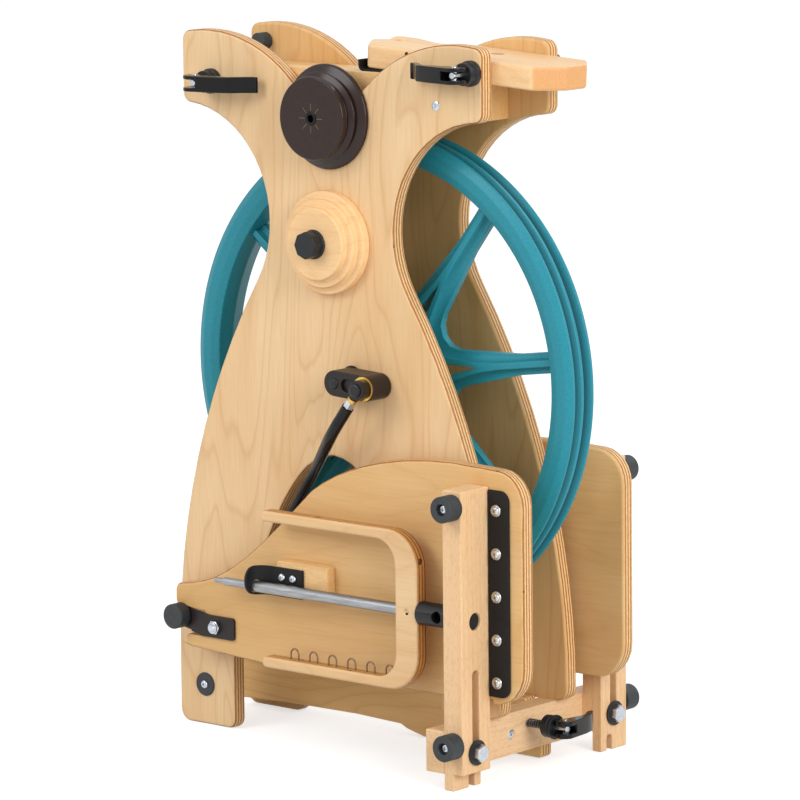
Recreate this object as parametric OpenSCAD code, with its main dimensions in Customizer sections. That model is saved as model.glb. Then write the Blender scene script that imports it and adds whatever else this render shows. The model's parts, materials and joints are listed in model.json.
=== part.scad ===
// Folding spinning wheel with two treadles, folded up for storage.
// Two plywood side panels hold a moulded drive wheel between them. Outside each panel a
// treadle is folded up against the frame on a maple bar. The bar swings down on a bolt and
// slides in under the frame, and the treadle then lies level over the floor. The flyer is
// stored on the front treadle, and the flyer holder lies down between the horns.
// The shapes are worked out about the middle of the panels and then moved, so that the origin
// is on the floor under the drive wheel. +X is the side of the bars and -Y is the front.

/* [Panels] */
// Thickness of the plywood
ply_t = 13; // [12:0.5:14]
// Clear space between the two panels
panel_gap = 71.2; // [70.8:0.2:74]
// Height of the horns above the floor
panel_h = 584.5; // [580:0.5:588]
// Half of the width over the horns
horn_half = 159.3; // [156:0.1:161]
// Radius of the curve along the top of a horn
horn_r = 133.5; // [130:0.5:136]
// Depth of the notch between the horns, from their tops
notch_depth = 52.5; // [50:0.5:55]
// Radius of the waist under a horn
waist_r = 92.7; // [90:0.1:95]
// Distance of the narrowest place of the waist from the tops of the horns
waist_depth = 153.5; // [150:0.5:156]
// Half of the width over the legs
foot_half = 174.4; // [172:0.1:176]
// Half of the width of the arch between the legs
arch_half = 112; // [108:1:116]
// Height of the top of the arch
arch_top = 243; // [238:1:248]
// Height where the arch meets the straight inner edges of the legs
arch_base = 60; // [56:1:64]

/* [Drive wheel] */
// Outside diameter of the drive wheel
wheel_d = 399; // [395:0.5:401]
// Width of the rim
rim_w = 31.6; // [30:0.2:33]
// Depth of the rim, from its outside to its inside
rim_depth = 25; // [23:0.5:27]
// Depth of the two cord grooves
groove_depth = 6.5; // [4:0.5:7]
// Number of spokes
spoke_n = 8; // [7:1:8]
// Width of a spoke near the rim
spoke_w = 17; // [15:0.5:18]
// Width of the raised rib along a spoke
rib_w = 5.6; // [5:0.2:7]
// Thickness of the web of a spoke
web_t = 7; // [5:0.5:9]
// Distance of the wheel's axle from the middle of the panels
wheel_x = 21.7; // [20:0.1:23]
// Height of the wheel's axle
wheel_z = 308.2; // [306:0.1:310]
// Diameter of the axle
axle_d = 12.7; // [12:0.1:13.2]

/* [Cranks and footmen] */
// Distance from the axle to the crank pin
throw = 31.5; // [30:0.5:32]
// Angle of the front crank above the level
crank_angle = -3; // [-5:1:0]
// Thickness of a crank from the panel outwards
crank_t = 22.6; // [21.6:0.2:23]
// Diameter of the rounded ends of a crank
crank_end_d = 21; // [20:0.5:22]
// Diameter of a crank pin
pin_d = 8; // [7:0.5:9]
// Diameter of a footman rod
footman_d = 8.2; // [7.6:0.1:8.2]

/* [Bars and crossbar] */
// Thickness of the maple bars along the panels
bar_t = 18.7; // [18:0.1:19.4]
// Width of the maple bars away from the panels
bar_w = 34.4; // [33.6:0.2:35]
// Height of a bar above the floor
bar_h = 241.4; // [238:0.2:245]
// Height of the pivot bolt
pivot_z = 30.2; // [30:0.1:31]
// Diameter of the pivot bolt
pivot_d = 8; // [7:0.5:8]
// How far a bar can slide on its bolt
bar_travel = 62; // [58:1:64]
// Distance of the crossbar's inner face from the outer edge of the legs
crossbar_inset = 31.4; // [31:0.1:33]
// Height of the crossbar's underside
crossbar_z = 13; // [12.9:0.1:14]
// Diameter of a rubber bumper
bumper_d = 21; // [20:0.5:22]
// Length of a rubber bumper
bumper_l = 15; // [13:0.5:16]

/* [Treadles] */
// Height of the lower edge of a treadle
treadle_z = 66.5; // [66:0.5:68]
// Height of the highest place of a treadle
treadle_top = 256.4; // [254:0.2:258]
// How far a treadle reaches past its bar
treadle_beyond = 34.6; // [33:0.2:36]
// Distance of the treadle's toe from the middle of the panels
treadle_toe = 157; // [155:0.2:159]
// Height of the bolt that holds a footman to its treadle
toe_bolt_z = 91.5; // [91:0.5:93]
// Distance of that bolt from the middle of the panels
toe_bolt_x = 110; // [108:1:112]
// Thickness of the leather of the hinge strap
leather_t = 2.4; // [2:0.2:2.6]

/* [Flyer] */
// Height of the flyer's axis as it is stored
flyer_z = 136; // [134:0.5:138]
// Outside width of the flyer
flyer_w = 130; // [126:1:134]
// Outside length of the flyer's wooden part
flyer_l = 166; // [160:1:168]
// Height of a flyer arm
flyer_arm = 9; // [8:0.5:11]
// Diameter of the flyer shaft
shaft_d = 9.5; // [8.5:0.1:9.6]
// Number of yarn hooks
hook_n = 6; // [4:1:6]

/* [Flyer holder] */
// Thickness of the maple flyer holder
holder_t = 19; // [18:0.5:20]
// Distance of the holder's bolt from the middle of the panels
holder_bolt_x = 149; // [147:0.5:150]
// Distance of the holder's bolt from the tops of the horns
holder_bolt_down = 21.5; // [20:0.5:22]
// Distance of the left cam bolt from the middle of the panels
left_bolt_x = 126; // [122:1:130]
// Distance of the left cam bolt from the tops of the horns
left_bolt_down = 42; // [39:0.5:46]
// Diameter of both cam bolts
cam_bolt_d = 8; // [7:0.5:8]
// Outside diameter of the washer under a cam lever
cam_washer_d = 20.6; // [19:0.2:22]
// Thickness of a cam lever
cam_lever_t = 13; // [12:0.5:14]

/* [Stored whorls] */
// Distance of the plastic whorl's middle from the tops of the horns
whorl_down = 63.9; // [62:0.1:66]
// Diameter of the plastic whorl's largest step
whorl_d = 85.4; // [82:0.2:86]
// Distance of the maple stepped disc's middle from the tops of the horns
disc_down = 165.5; // [163:0.5:168]
// Diameter of the maple stepped disc
disc_d = 84; // [80:1:86]

/* [Hidden] */

ply_c = "#d9b88c";
maple_c = "#dfbd95";
teal_c = "#2f7f86";
black_c = "#26282a";
brown_c = "#3b2f2a";
steel_c = "#b9bcc0";
brass_c = "#c9a24c";

// A running fit, the space between parts that pass each other, and faces that only seat
fit = 0.05;
gap = 0.3;
seat = 0.02;
// How far a cutting body runs past a face
over = 1;

// Heights that go with the tops of the horns
notch_z = panel_h - notch_depth;
waist_z = panel_h - waist_depth;
holder_bolt_z = panel_h - holder_bolt_down;
left_bolt_z = panel_h - left_bolt_down;
whorl_z = panel_h - whorl_down;
disc_z = panel_h - disc_down;

// Planes of the panels, the treadles and the bars, measured from the middle
in_y = panel_gap / 2;
out_y = in_y + ply_t;
footman_room = 9.2;
treadle_in = out_y + footman_room;
treadle_out = treadle_in + ply_t;
bar_in = treadle_out + 0.5;
bar_out = bar_in + bar_w;
bolt_y = bar_in + bar_w / 2;
footman_y = out_y + footman_room / 2;

// Crossbar, bars and their half lap
crossbar_x = foot_half - crossbar_inset;
crossbar_end = crossbar_x + 19;
crossbar_h = 2 * (pivot_z - crossbar_z);
crossbar_top = crossbar_z + crossbar_h;
bar_x = crossbar_end + gap;
bar_end = bar_x + bar_t;
treadle_right = bar_end + treadle_beyond;
lap_x = bar_x + bar_t / 2;
lap_gap = 0.15;
clamp_rise = 5.6;
clamp_z = pivot_z + clamp_rise;
bolt_af = 12.7;

wheel_r = wheel_d / 2;
hub_half = rim_w / 2;
bearing_d = 28;
crank_in = out_y + 0.5;
crank_out = crank_in + crank_t;
ring_t = 1.4;
rod_end_d = 15.8;
rod_end_t = 8.4;
rod_end_in = crank_out + ring_t + 2 * seat + 0.2;
rod_end_y = rod_end_in + rod_end_t / 2;
stud_s = 12;
rod_s = 19;
eye_d = 16;
eye_t = 6.8;

function unit(v) = v / norm(v);
function polar(c, r, a) = c + r * [cos(a), sin(a)];
function arc(c, r, a0, a1, n) = [for (i = [0:n]) polar(c, r, a0 + (a1 - a0) * i / n)];
function rest(pts) = [for (i = [1:len(pts) - 1]) pts[i]];
function flipped(pts) = [for (i = [len(pts) - 1:-1:0]) [-pts[i].x, pts[i].y]];
function mix4(p, s, t) =
    s * s * s * p[0] + 3 * s * s * t * p[1] + 3 * s * t * t * p[2] + t * t * t * p[3];
function bezier(p, n) = [for (i = [0:n]) mix4(p, 1 - i / n, i / n)];
function sharp(pts) = [for (p = pts) [p.x, p.y, 0]];
// Rounds the corner b between a and c with the radius r
function fillet(a, b, c, r, n) =
    let (u = unit(a - b), v = unit(c - b), half = acos(u * v) / 2,
        centre = b + unit(u + v) * r / sin(half),
        p = b + u * r / tan(half) - centre,
        q = b + v * r / tan(half) - centre,
        a0 = atan2(p.y, p.x),
        turn = (atan2(q.y, q.x) - a0 + 540) % 360 - 180)
    arc(centre, r, a0, a0 + turn, n);
// An outline from corners [x, y, radius]
function rounded(k, n = 5) = [for (i = [0:len(k) - 1])
    let (m = len(k), a = k[(i + m - 1) % m], b = k[i], c = k[(i + 1) % m])
    each (b.z > 0 ? fillet([a.x, a.y], [b.x, b.y], [c.x, c.y], b.z, n) : [[b.x, b.y]])];

module placed(c) {
    color(c)
        translate([-wheel_x, 0, 0]) children();
}
// What is drawn for the back is mirrored to the front
module on_side(front) {
    mirror([0, front ? 1 : 0, 0]) children();
}
// A plate along the panels, drawn in X and Z, from y0 to y0 + t
module plate(pts, t, y0) {
    translate([0, y0 + t, 0])
        rotate([90, 0, 0])
            linear_extrude(t) polygon(pts);
}
// A plate drawn in X and Y, from z0 to z0 + t
module flat_plate(pts, t, z0) {
    translate([0, 0, z0])
        linear_extrude(t) polygon(pts);
}
module box(x0, x1, y0, y1, z0, z1) {
    translate([x0, y0, z0]) cube([x1 - x0, y1 - y0, z1 - z0]);
}
// Round bodies along Y and along X
module along_y(x, z, y0, y1, d, n = 36) {
    translate([x, y1, z])
        rotate([90, 0, 0])
            cylinder(d = d, h = y1 - y0, $fn = n);
}
module along_x(y, z, x0, x1, d, n = 36) {
    translate([x0, y, z])
        rotate([0, 90, 0])
            cylinder(d = d, h = x1 - x0, $fn = n);
}
// A round bar between two points
module rod(p, q, d, n = 20) {
    v = q - p;
    translate(p)
        rotate([0, acos(v.z / norm(v)), atan2(v.y, v.x)])
            cylinder(d = d, h = norm(v), $fn = n);
}
// A body turned from [radius, distance] points about an axis along Y, outwards from y0
module turned(x, z, y0, pts, n = 48) {
    translate([x, y0, z])
        rotate([-90, 0, 0])
            rotate_extrude($fn = n) polygon(pts);
}
// A screw head with a cross recess, standing out from the face y0
module screw_head(x, z, y0, d, h) {
    difference() {
        turned(x, z, y0 + seat, [[0, 0], [d / 2, 0], [d / 2, h * 0.4], [d * 0.36, h * 0.85],
            [d * 0.22, h], [0, h]], 20);
        box(x - d * 0.26, x + d * 0.26, y0 + h * 0.5, y0 + h + over, z - 0.5, z + 0.5);
        box(x - 0.5, x + 0.5, y0 + h * 0.5, y0 + h + over, z - d * 0.26, z + d * 0.26);
    }
}

// Side panels: horns, waist and legs are arcs that run into each other
horn_x = horn_half - 27.3;
horn_cz = panel_h - horn_r;
notch_h = notch_z - horn_cz;
notch_r = (pow(horn_x, 2) + pow(notch_h, 2) - pow(horn_r, 2)) / (2 * (horn_r - notch_h));
notch_a = atan2(-notch_h - notch_r, horn_x);
edge_r = 8;
edge_x = horn_half - edge_r;
horn_end = acos((edge_x - horn_x) / (horn_r - edge_r));
edge_top = horn_cz + (horn_r - edge_r) * sin(horn_end);
edge_low = waist_z + sqrt(pow(waist_r + edge_r, 2) - pow(edge_r, 2));
waist_a = asin(edge_r / (waist_r + edge_r));
leg_z = 60;
leg_dz = waist_z - leg_z;
leg_dx = foot_half - horn_half;
leg_r = (pow(leg_dz, 2) + pow(leg_dx, 2) - pow(waist_r, 2)) / (2 * (waist_r + leg_dx));
leg_a = atan2(leg_dz, leg_r - leg_dx);
half_edge = concat(
    arc([0, notch_z + notch_r], notch_r, 278, 360 + notch_a, 5),
    rest(arc([horn_x, horn_cz], horn_r, 180 + notch_a, horn_end, 14)),
    rest(arc([edge_x, edge_top], edge_r, horn_end, 0, 5)),
    arc([edge_x, edge_low], edge_r, 0, waist_a - 90, 6),
    rest(arc([horn_half, waist_z], waist_r, 90 + waist_a, 180 + leg_a, 18)),
    rest(arc([foot_half - leg_r, leg_z], leg_r, leg_a, 0, 12)));
arch_pts = [for (i = [-12:12]) [-arch_half * i / 12,
    arch_base + (arch_top - arch_base) * (1 - pow(i / 12, 2))]];
right_foot = [foot_half - 1.4, crossbar_top + 0.5];
panel_edge = concat(
    [[0, notch_z]],
    half_edge,
    fillet([foot_half, leg_z], right_foot, [arch_half, right_foot.y], 9, 4),
    // A small step over the crossbar's edge leaves room for the bar to slide under
    [[crossbar_end, right_foot.y], [crossbar_end, crossbar_top]],
    fillet(right_foot, [arch_half, crossbar_top], [arch_half, leg_z], 4, 3),
    arch_pts,
    fillet([-arch_half, leg_z], [-arch_half, 0], [-foot_half, 0], 8, 4),
    fillet([-arch_half, 0], [-foot_half, 0], [-foot_half, leg_z], 10, 4),
    flipped(half_edge));

module panel(front) {
    on_side(front)
        difference() {
            plate(panel_edge, ply_t, in_y);
            along_y(wheel_x, wheel_z, in_y - over, out_y + over, bearing_d + 2 * seat);
            along_y(holder_bolt_x, holder_bolt_z, in_y - over, out_y + over,
                cam_bolt_d + 2 * seat);
            along_y(-left_bolt_x, left_bolt_z, in_y - over, out_y + over,
                cam_bolt_d + 2 * seat);
            if (front)
                along_y(0, disc_z, in_y - over, out_y + over, knob_stud_d + 2 * fit);
        }
}
module front_panel() {
    placed(ply_c) panel(true);
}
module back_panel() {
    placed(ply_c) panel(false);
}

// The crossbar carries the legs on the right and holds both pivot bolts
module crossbar() {
    placed(maple_c)
        difference() {
            box(crossbar_x, crossbar_end, -bar_out, bar_out, crossbar_z, crossbar_top - seat);
            for (y = [-bolt_y, bolt_y])
                along_x(y, pivot_z, crossbar_x - over, crossbar_end + over,
                    pivot_d + 2 * fit);
            along_x(0, clamp_z, crossbar_x - over, crossbar_end + over,
                clamp_rod_d + 2 * seat);
            for (y = [-crossbar_screw.x, crossbar_screw.x])
                along_x(y, crossbar_screw.y, crossbar_end - screw_sink, crossbar_end + over, 8.6);
        }
}
// A plywood board inside the back legs, which runs on under the crossbar
module stretcher_board() {
    tail = crossbar_end - 4;
    tail_top = crossbar_z - gap;
    head = 4.4 - foot_half;
    placed(ply_c)
        plate(rounded([[head, 6, 6], [head + 52, 6, 8], [head + 58, 9.6, 8], [-6, 9.6, 8], [4, 3.4, 8],
            [tail, 3, 5], [tail, tail_top, 2], [crossbar_x - 0.5, tail_top, 0],
            [crossbar_x - 0.5, 27, 3], [head, 32, 6]]), ply_t, in_y - ply_t - seat);
}
spreader_x = 105;
module spreader_board() {
    placed(ply_c)
        box(spreader_x, spreader_x + ply_t, -in_y + seat, in_y - seat, notch_z - 13.5,
            notch_z + 18);
}

// Two rails between the panels at the notch
rail_left = -118;
rail_right = 48;
rail_low = notch_z - 8;
rail_top = notch_z + 25.3;
rail_t = 14;
module front_top_rail() {
    placed(maple_c)
        plate(rounded([[rail_left, rail_low, 0], [rail_right, rail_low, 0], [rail_right, rail_top, 2],
            [rail_left, rail_top, 2]], 3), rail_t, -in_y + seat);
}
module rear_top_rail() {
    placed(maple_c)
        box(rail_left, rail_right, rail_t + 1.5 - in_y, in_y - seat, notch_z - 2, notch_z + 21);
}

foot_screw = [-145, 34.4];
horn_screw = [spreader_x + 7.4, notch_z + 3.4];
// The screws in the crossbar are sunk, because the folded bars lie over them
crossbar_screw = [21, 29.5];
screw_sink = 1.3;
module frame_screws() {
    placed(steel_c) {
        for (front = [true, false])
            on_side(front) {
                turned(foot_screw.x, foot_screw.y, out_y + seat,
                    [[0, 0], [10, 0], [10, 1], [9.2, 1.6], [0, 1.6]], 32);
                screw_head(foot_screw.x, foot_screw.y, out_y + 1.6 - seat, 8, 1.8);
                screw_head(horn_screw.x, horn_screw.y, out_y, 8, 1.2);
            }
        for (y = [-crossbar_screw.x, crossbar_screw.x])
            translate([crossbar_end - screw_sink, y, crossbar_screw.y])
                rotate([0, 0, -90]) screw_head(0, 0, 0, 8, 1.2);
    }
}

module bearing(front) {
    on_side(front)
        difference() {
            union() {
                along_y(wheel_x, wheel_z, in_y - 1.5, in_y - seat, bearing_d + 4);
                along_y(wheel_x, wheel_z, in_y - 1.5, out_y, bearing_d);
            }
            along_y(wheel_x, wheel_z, in_y - 1.5 - over, out_y + over, axle_d + 2 * fit);
        }
}
module axle_bearings() {
    placed(steel_c) {
        bearing(true);
        bearing(false);
    }
}

module horn_bumper() {
    placed(black_c)
        along_y(18.1 - horn_half, panel_h - 15.9, in_y - 11.5, in_y - seat, 14.3);
}

// Drive wheel. Half of the rim's section, from the ridge between the grooves to the inside
rim_in = wheel_r - rim_depth;
rim_half = [
    [wheel_r - 1, 1.4], [wheel_r - groove_depth + 1.6, 4.2], [wheel_r - groove_depth, 5.4],
    [wheel_r - groove_depth, 6.8], [wheel_r - groove_depth + 1.6, 8], [wheel_r, 10.8],
    [wheel_r, hub_half - 3], [wheel_r - 6.5, hub_half], [wheel_r - 15, hub_half],
    [rim_in + 2.5, hub_half - 2.3]];
module on_wheel() {
    translate([wheel_x, 0, wheel_z])
        rotate([90, 0, 0]) children();
}
module wheel_rim() {
    placed(teal_c)
        on_wheel()
            rotate_extrude($fn = 72)
                polygon(concat(rim_half, [[rim_in, 0]],
                    [for (i = [len(rim_half) - 1:-1:0]) [rim_half[i].x, -rim_half[i].y]]));
}

// Each spoke is one rib near the rim that parts in two towards the hub
spoke_a = 8;
spoke_step = 360 / spoke_n;
spoke_half = spoke_w / 2;
flare_r = 110;
flare_half = spoke_half + 3;
flare = 0.105;
vertex_r = (flare_half + flare * flare_r) / (tan(spoke_step / 2) + flare)
    / cos(spoke_step / 2);
vertex_fillet = 18;
slot_r = 98;
slot_low = 45;
slot_flare = 0.159;
rib_half_t = 9.5;
recess_r = [22, 30];
function turn(p, a) = [p.x * cos(a) - p.y * sin(a), p.x * sin(a) + p.y * cos(a), p.z];
web_corners = [for (k = [0:spoke_n - 1])
    let (a = spoke_a + k * spoke_step)
    each [turn([vertex_r * cos(spoke_step / 2), -vertex_r * sin(spoke_step / 2),
            vertex_fillet], a),
        turn([flare_r, -flare_half, 60], a), turn([rim_in - 36, -spoke_half, 40], a),
        turn([rim_in + 3, -spoke_half, 0], a), turn([rim_in + 3, spoke_half, 0], a),
        turn([rim_in - 36, spoke_half, 40], a), turn([flare_r, flare_half, 60], a)]];
module slots_2d() {
    for (k = [0:spoke_n - 1])
        rotate(spoke_a + k * spoke_step)
            polygon([[slot_r, 0], [slot_low, slot_flare * (slot_r - slot_low)],
                [slot_low, -slot_flare * (slot_r - slot_low)]]);
}
module ribs_2d() {
    low = slot_low - 5;
    wide = 4.4 + 0.191 * (slot_r - low);
    circle(r = slot_low, $fn = 48);
    for (k = [0:spoke_n - 1])
        rotate(spoke_a + k * spoke_step)
            polygon([[rim_in + 3, -rib_w / 2], [rim_in + 3, rib_w / 2], [120, rib_w / 2],
                [slot_r, 4.4], [low, wide], [low, -wide], [slot_r, -4.4],
                [120, -rib_w / 2]]);
}
module wheel_spokes() {
    placed(teal_c)
        on_wheel()
            difference() {
                intersection() {
                    union() {
                        linear_extrude(web_t, center = true) polygon(rounded(web_corners, 4));
                        linear_extrude(2 * rib_half_t, center = true) ribs_2d();
                        cylinder(r = recess_r[0], h = 2 * hub_half, center = true, $fn = 48);
                    }
                    rotate_extrude($fn = 72)
                        polygon([[0, -hub_half], [rim_in + 1, -hub_half],
                            [rim_in + 2.5 - seat, 2.3 - hub_half], [rim_in - seat, 0],
                            [rim_in + 2.5 - seat, hub_half - 2.3], [rim_in + 1, hub_half],
                            [0, hub_half]]);
                }
                linear_extrude(3 * hub_half, center = true) slots_2d();
                cylinder(d = axle_d + 2 * seat, h = 3 * hub_half, center = true, $fn = 36);
                for (s = [0, 1])
                    mirror([0, 0, s])
                        translate([0, 0, web_t / 2])
                            difference() {
                                cylinder(r = recess_r[1], h = hub_half, $fn = 48);
                                cylinder(r = recess_r[0], h = hub_half, $fn = 48);
                            }
            }
}

axle_end = crank_in + 14;
module axle() {
    placed(steel_c) {
        along_y(wheel_x, wheel_z, -axle_end, axle_end, axle_d);
        for (front = [true, false])
            on_side(front)
                along_y(wheel_x, wheel_z, hub_half + seat, in_y - 1.5 - gap, 19);
    }
}

// Cranks stand opposite each other on the ends of the axle
crank_dir = [[cos(crank_angle), sin(crank_angle)], [-cos(crank_angle), -sin(crank_angle)]];
front_pin = [wheel_x, wheel_z] + throw * crank_dir[0];
back_pin = [wheel_x, wheel_z] + throw * crank_dir[1];
// A flat bar with round ends, from a point along the angle a
module link(x, z, a, l, y0, y1, d) {
    plate([for (p = concat(arc([0, 0], d / 2, 90, 270, 14), arc([l, 0], d / 2, -90, 90, 14)))
        [x, z] + polar([0, 0], p.x, a) + polar([0, 0], p.y, a + 90)], y1 - y0, y0);
}
crank_pocket = 2.5;
grub_d = 5;
// The grub screws sit in the edge of the crank that faces up
module grubs(a, h0, h1, d) {
    up = cos(a) > 0 ? 1 : -1;
    for (s = [0, throw])
        translate([wheel_x + s * cos(a), (crank_in + axle_end) / 2, wheel_z + s * sin(a)])
            rotate([0, -a, 0])
                mirror([0, 0, up > 0 ? 0 : 1])
                    translate([0, 0, h0]) cylinder(d = d, h = h1 - h0, $fn = 16);
}
module crank(front) {
    a = crank_angle + (front ? 0 : 180);
    p = front ? front_pin : back_pin;
    on_side(front)
        difference() {
            link(wheel_x, wheel_z, a, throw, crank_in, crank_out, crank_end_d);
            link(wheel_x, wheel_z, a, throw * 0.32, crank_out - crank_pocket,
                crank_out + over, crank_end_d - 7);
            along_y(wheel_x, wheel_z, crank_in - over, axle_end + seat, axle_d + 2 * seat);
            along_y(wheel_x, wheel_z, axle_end - over, crank_out, 5 + 2 * seat);
            along_y(p.x, p.y, crank_out - 9, crank_out + over, pin_d + 2 * seat);
            grubs(a, crank_end_d / 2 - 3, crank_end_d, grub_d + 2 * seat);
        }
}
module front_crank() {
    placed(brown_c) crank(true);
}
module back_crank() {
    placed(brown_c) crank(false);
}
// Crank pins with their spacer rings and caps
module crank_pins() {
    placed(steel_c)
        for (front = [true, false]) {
            p = front ? front_pin : back_pin;
            on_side(front) {
                along_y(p.x, p.y, crank_out - 9 + seat, rod_end_in + rod_end_t + gap, pin_d);
                along_y(p.x, p.y, crank_out + seat, crank_out + ring_t, 20);
                turned(p.x, p.y, rod_end_in + rod_end_t + gap,
                    [[0, 0], [pin_d * 0.69, 0], [pin_d * 0.69, 1], [pin_d * 0.5, 1.8], [0, 1.8]],
                    28);
            }
        }
}
module crank_screws() {
    placed(steel_c)
        for (front = [true, false])
            on_side(front) {
                a = crank_angle + (front ? 0 : 180);
                y0 = crank_out - crank_pocket;
                along_y(wheel_x, wheel_z, axle_end + seat, y0 + 0.1, 5);
                difference() {
                    turned(wheel_x, wheel_z, y0 + seat, [[0, 0], [5, 0], [4.6, 1.4],
                        [3.2, 2.3], [0, 2.7]], 24);
                    along_y(wheel_x, wheel_z, y0 + 1.2, y0 + 2 * over + 2, 3.4, 6);
                }
                grubs(a, crank_end_d / 2 - 3 + seat, crank_end_d / 2 - 1, grub_d);
            }
}

// Footmen run from the crank pins to the treadles, in the space between panel and treadle.
// The front one leaves its pin straight towards the toe bolt and steps in behind the treadle.
// The back one first leans out past the treadle's upper edge.
toe = [-toe_bolt_x, toe_bolt_z];
front_dir = unit(toe - front_pin);
front_side = [front_dir.y, -front_dir.x];
back_dir = unit([-0.75, -0.66]);
front_bends = [front_pin + 47 * front_dir, front_pin + 104 * front_dir + 9 * front_side];
back_bends = [back_pin + 47 * back_dir, back_pin + 80 * back_dir];
function at_y(p, y) = [p.x, y, p.y];
module footman(front) {
    p = front ? front_pin : back_pin;
    u = front ? front_dir : back_dir;
    bends = front ? front_bends : back_bends;
    path = [at_y(p + rod_s * u, rod_end_y), at_y(bends[0], rod_end_y),
        at_y(bends[1], footman_y), at_y(toe, footman_y)];
    // The rod stops inside the eye's wall, and each bend has a slightly thicker knuckle
    stop = path[3] - 5 * unit(path[3] - path[2]);
    on_side(front)
        difference() {
            union() {
                rod(path[0], path[1], footman_d);
                rod(path[1], path[2], footman_d);
                rod(path[2], stop, footman_d);
                for (i = [1, 2])
                    translate(path[i]) sphere(d = footman_d + gap, $fn = 20);
                along_y(toe.x, toe.y, footman_y - eye_t / 2, footman_y + eye_t / 2, eye_d);
            }
            along_y(toe.x, toe.y, footman_y - eye_t, footman_y + eye_t, eye_bore);
        }
}
eye_bore = 6.6;
module rod_end(front) {
    p = front ? front_pin : back_pin;
    u = front ? front_dir : back_dir;
    on_side(front)
        difference() {
            union() {
                along_y(p.x, p.y, rod_end_in, rod_end_in + rod_end_t, rod_end_d);
                rod(at_y(p + 5 * u, rod_end_y), at_y(p + (stud_s - seat) * u, rod_end_y), 8);
            }
            along_y(p.x, p.y, rod_end_in - over, rod_end_in + rod_end_t + over,
                pin_d + 2 * fit);
        }
}
// The threaded stud between the rod end and the rod, with its lock nut
module rod_nut(front) {
    p = front ? front_pin : back_pin;
    u = front ? front_dir : back_dir;
    on_side(front) {
        rod(at_y(p + stud_s * u, rod_end_y), at_y(p + (rod_s - seat) * u, rod_end_y), 5);
        rod(at_y(p + (stud_s + 0.3) * u, rod_end_y), at_y(p + (rod_s - 0.4) * u, rod_end_y),
            9.4, 6);
    }
}
module front_footman() {
    placed(black_c) footman(true);
}
module back_footman() {
    placed(black_c) footman(false);
}
module front_rod_end() {
    placed(black_c) rod_end(true);
}
module back_rod_end() {
    placed(black_c) rod_end(false);
}
module front_rod_nut() {
    placed(steel_c) rod_nut(true);
}
module back_rod_nut() {
    placed(steel_c) rod_nut(false);
}

// Pivot bolts that the bars swing and slide on
module pivot_bolt(front) {
    on_side(front) {
        along_x(bolt_y, pivot_z, crossbar_x - gap - 6, bar_end + gap + 1.6, pivot_d);
        along_x(bolt_y, pivot_z, crossbar_x - gap - 6, crossbar_x - gap,
            bolt_af / cos(30), 6);
        along_x(bolt_y, pivot_z, bar_end + gap, bar_end + gap + 1.6, 20.4);
        along_x(bolt_y, pivot_z, bar_end + gap + 1.6, bar_end + gap + 7.6,
            bolt_af / cos(30), 6);
    }
}
module front_pivot_bolt() {
    placed(steel_c) pivot_bolt(true);
}
module back_pivot_bolt() {
    placed(steel_c) pivot_bolt(false);
}

// Bars. The two ends are halved, so that they lap on the clamp rod when both are down
prong_slot_w = 7;
prong_slot_h = 13;
flyer_hole_d = 13.8;
module bar(front) {
    stub = front ? 13.6 : 17.4;
    prong_x = front ? [bar_x, lap_x - lap_gap] : [lap_x + lap_gap, bar_end];
    prong_y = bolt_y - clamp_rise;
    on_side(front)
        difference() {
            union() {
                box(bar_x, bar_end, bar_in, bar_out, stub, bar_h);
                box(prong_x[0], prong_x[1], bar_in, bar_out, 0, stub + over);
            }
            for (z = [pivot_z, pivot_z + bar_travel])
                along_x(bolt_y, z, bar_x - over, bar_end + over, pivot_d + 2 * fit);
            box(bar_x - over, bar_end + over, bolt_y - pivot_d / 2 - fit,
                bolt_y + pivot_d / 2 + fit, pivot_z, pivot_z + bar_travel);
            along_x(prong_y, prong_slot_h - prong_slot_w / 2, bar_x - over, bar_end + over,
                prong_slot_w);
            box(bar_x - over, bar_end + over, prong_y - prong_slot_w / 2,
                prong_y + prong_slot_w / 2, -over, prong_slot_h - prong_slot_w / 2);
            along_x(bolt_y, flyer_z - 0.5, bar_x - over, bar_end + over, flyer_hole_d);
        }
}
module front_bar() {
    placed(maple_c) bar(true);
}
module back_bar() {
    placed(maple_c) bar(false);
}
// A rubber bumper with a deep hole for its screw
module bumper(x, z, y0) {
    turned(x, z, y0 + seat, [[0, 0], [bumper_d / 2, 0], [bumper_d / 2, bumper_l - 0.8],
        [bumper_d / 2 - 0.8, bumper_l], [4.4, bumper_l], [4.4, 5], [0, 5]], 36);
}
// They stand just clear of the crossbar, so that the lower one passes it as the bar swings
module bar_bumpers(front) {
    on_side(front)
        for (z = [37.5, 228.5])
            bumper(crossbar_end + gap + bumper_d / 2, z, bar_out);
}
module front_bar_bumpers() {
    placed(black_c) bar_bumpers(true);
}
module back_bar_bumpers() {
    placed(black_c) bar_bumpers(false);
}

// Treadles, drawn as they are folded up. The toe has a notch that the bracket passes
bracket_h = 18.6;
bracket_z = toe_bolt_z - bracket_h / 2;
notch_x = -treadle_toe + 19;
treadle_edge = rounded(concat(
    [[treadle_right - 0.2, treadle_top - 2.6, 27], [treadle_right, 120, 0],
        [treadle_right, treadle_z, 30], [-60, treadle_z, 80], [-treadle_toe + 11, 71.5, 5.5],
        [-treadle_toe + 11, bracket_z - 0.6, 4], [notch_x, bracket_z - 0.6, 1],
        [notch_x, bracket_z + bracket_h + 2.6, 1],
        [-treadle_toe, bracket_z + bracket_h + 2.6, 7], [-treadle_toe, 123.4, 6.5]],
    sharp(bezier([[-150, 124], [-100, 128], [-62, 165], [-5, 217.8]], 12)),
    sharp(rest(bezier([[-5, 217.8], [28, 242], [85, treadle_top], [142.7, treadle_top]],
        9)))), 6);
toe_screw_d = 6;
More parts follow.
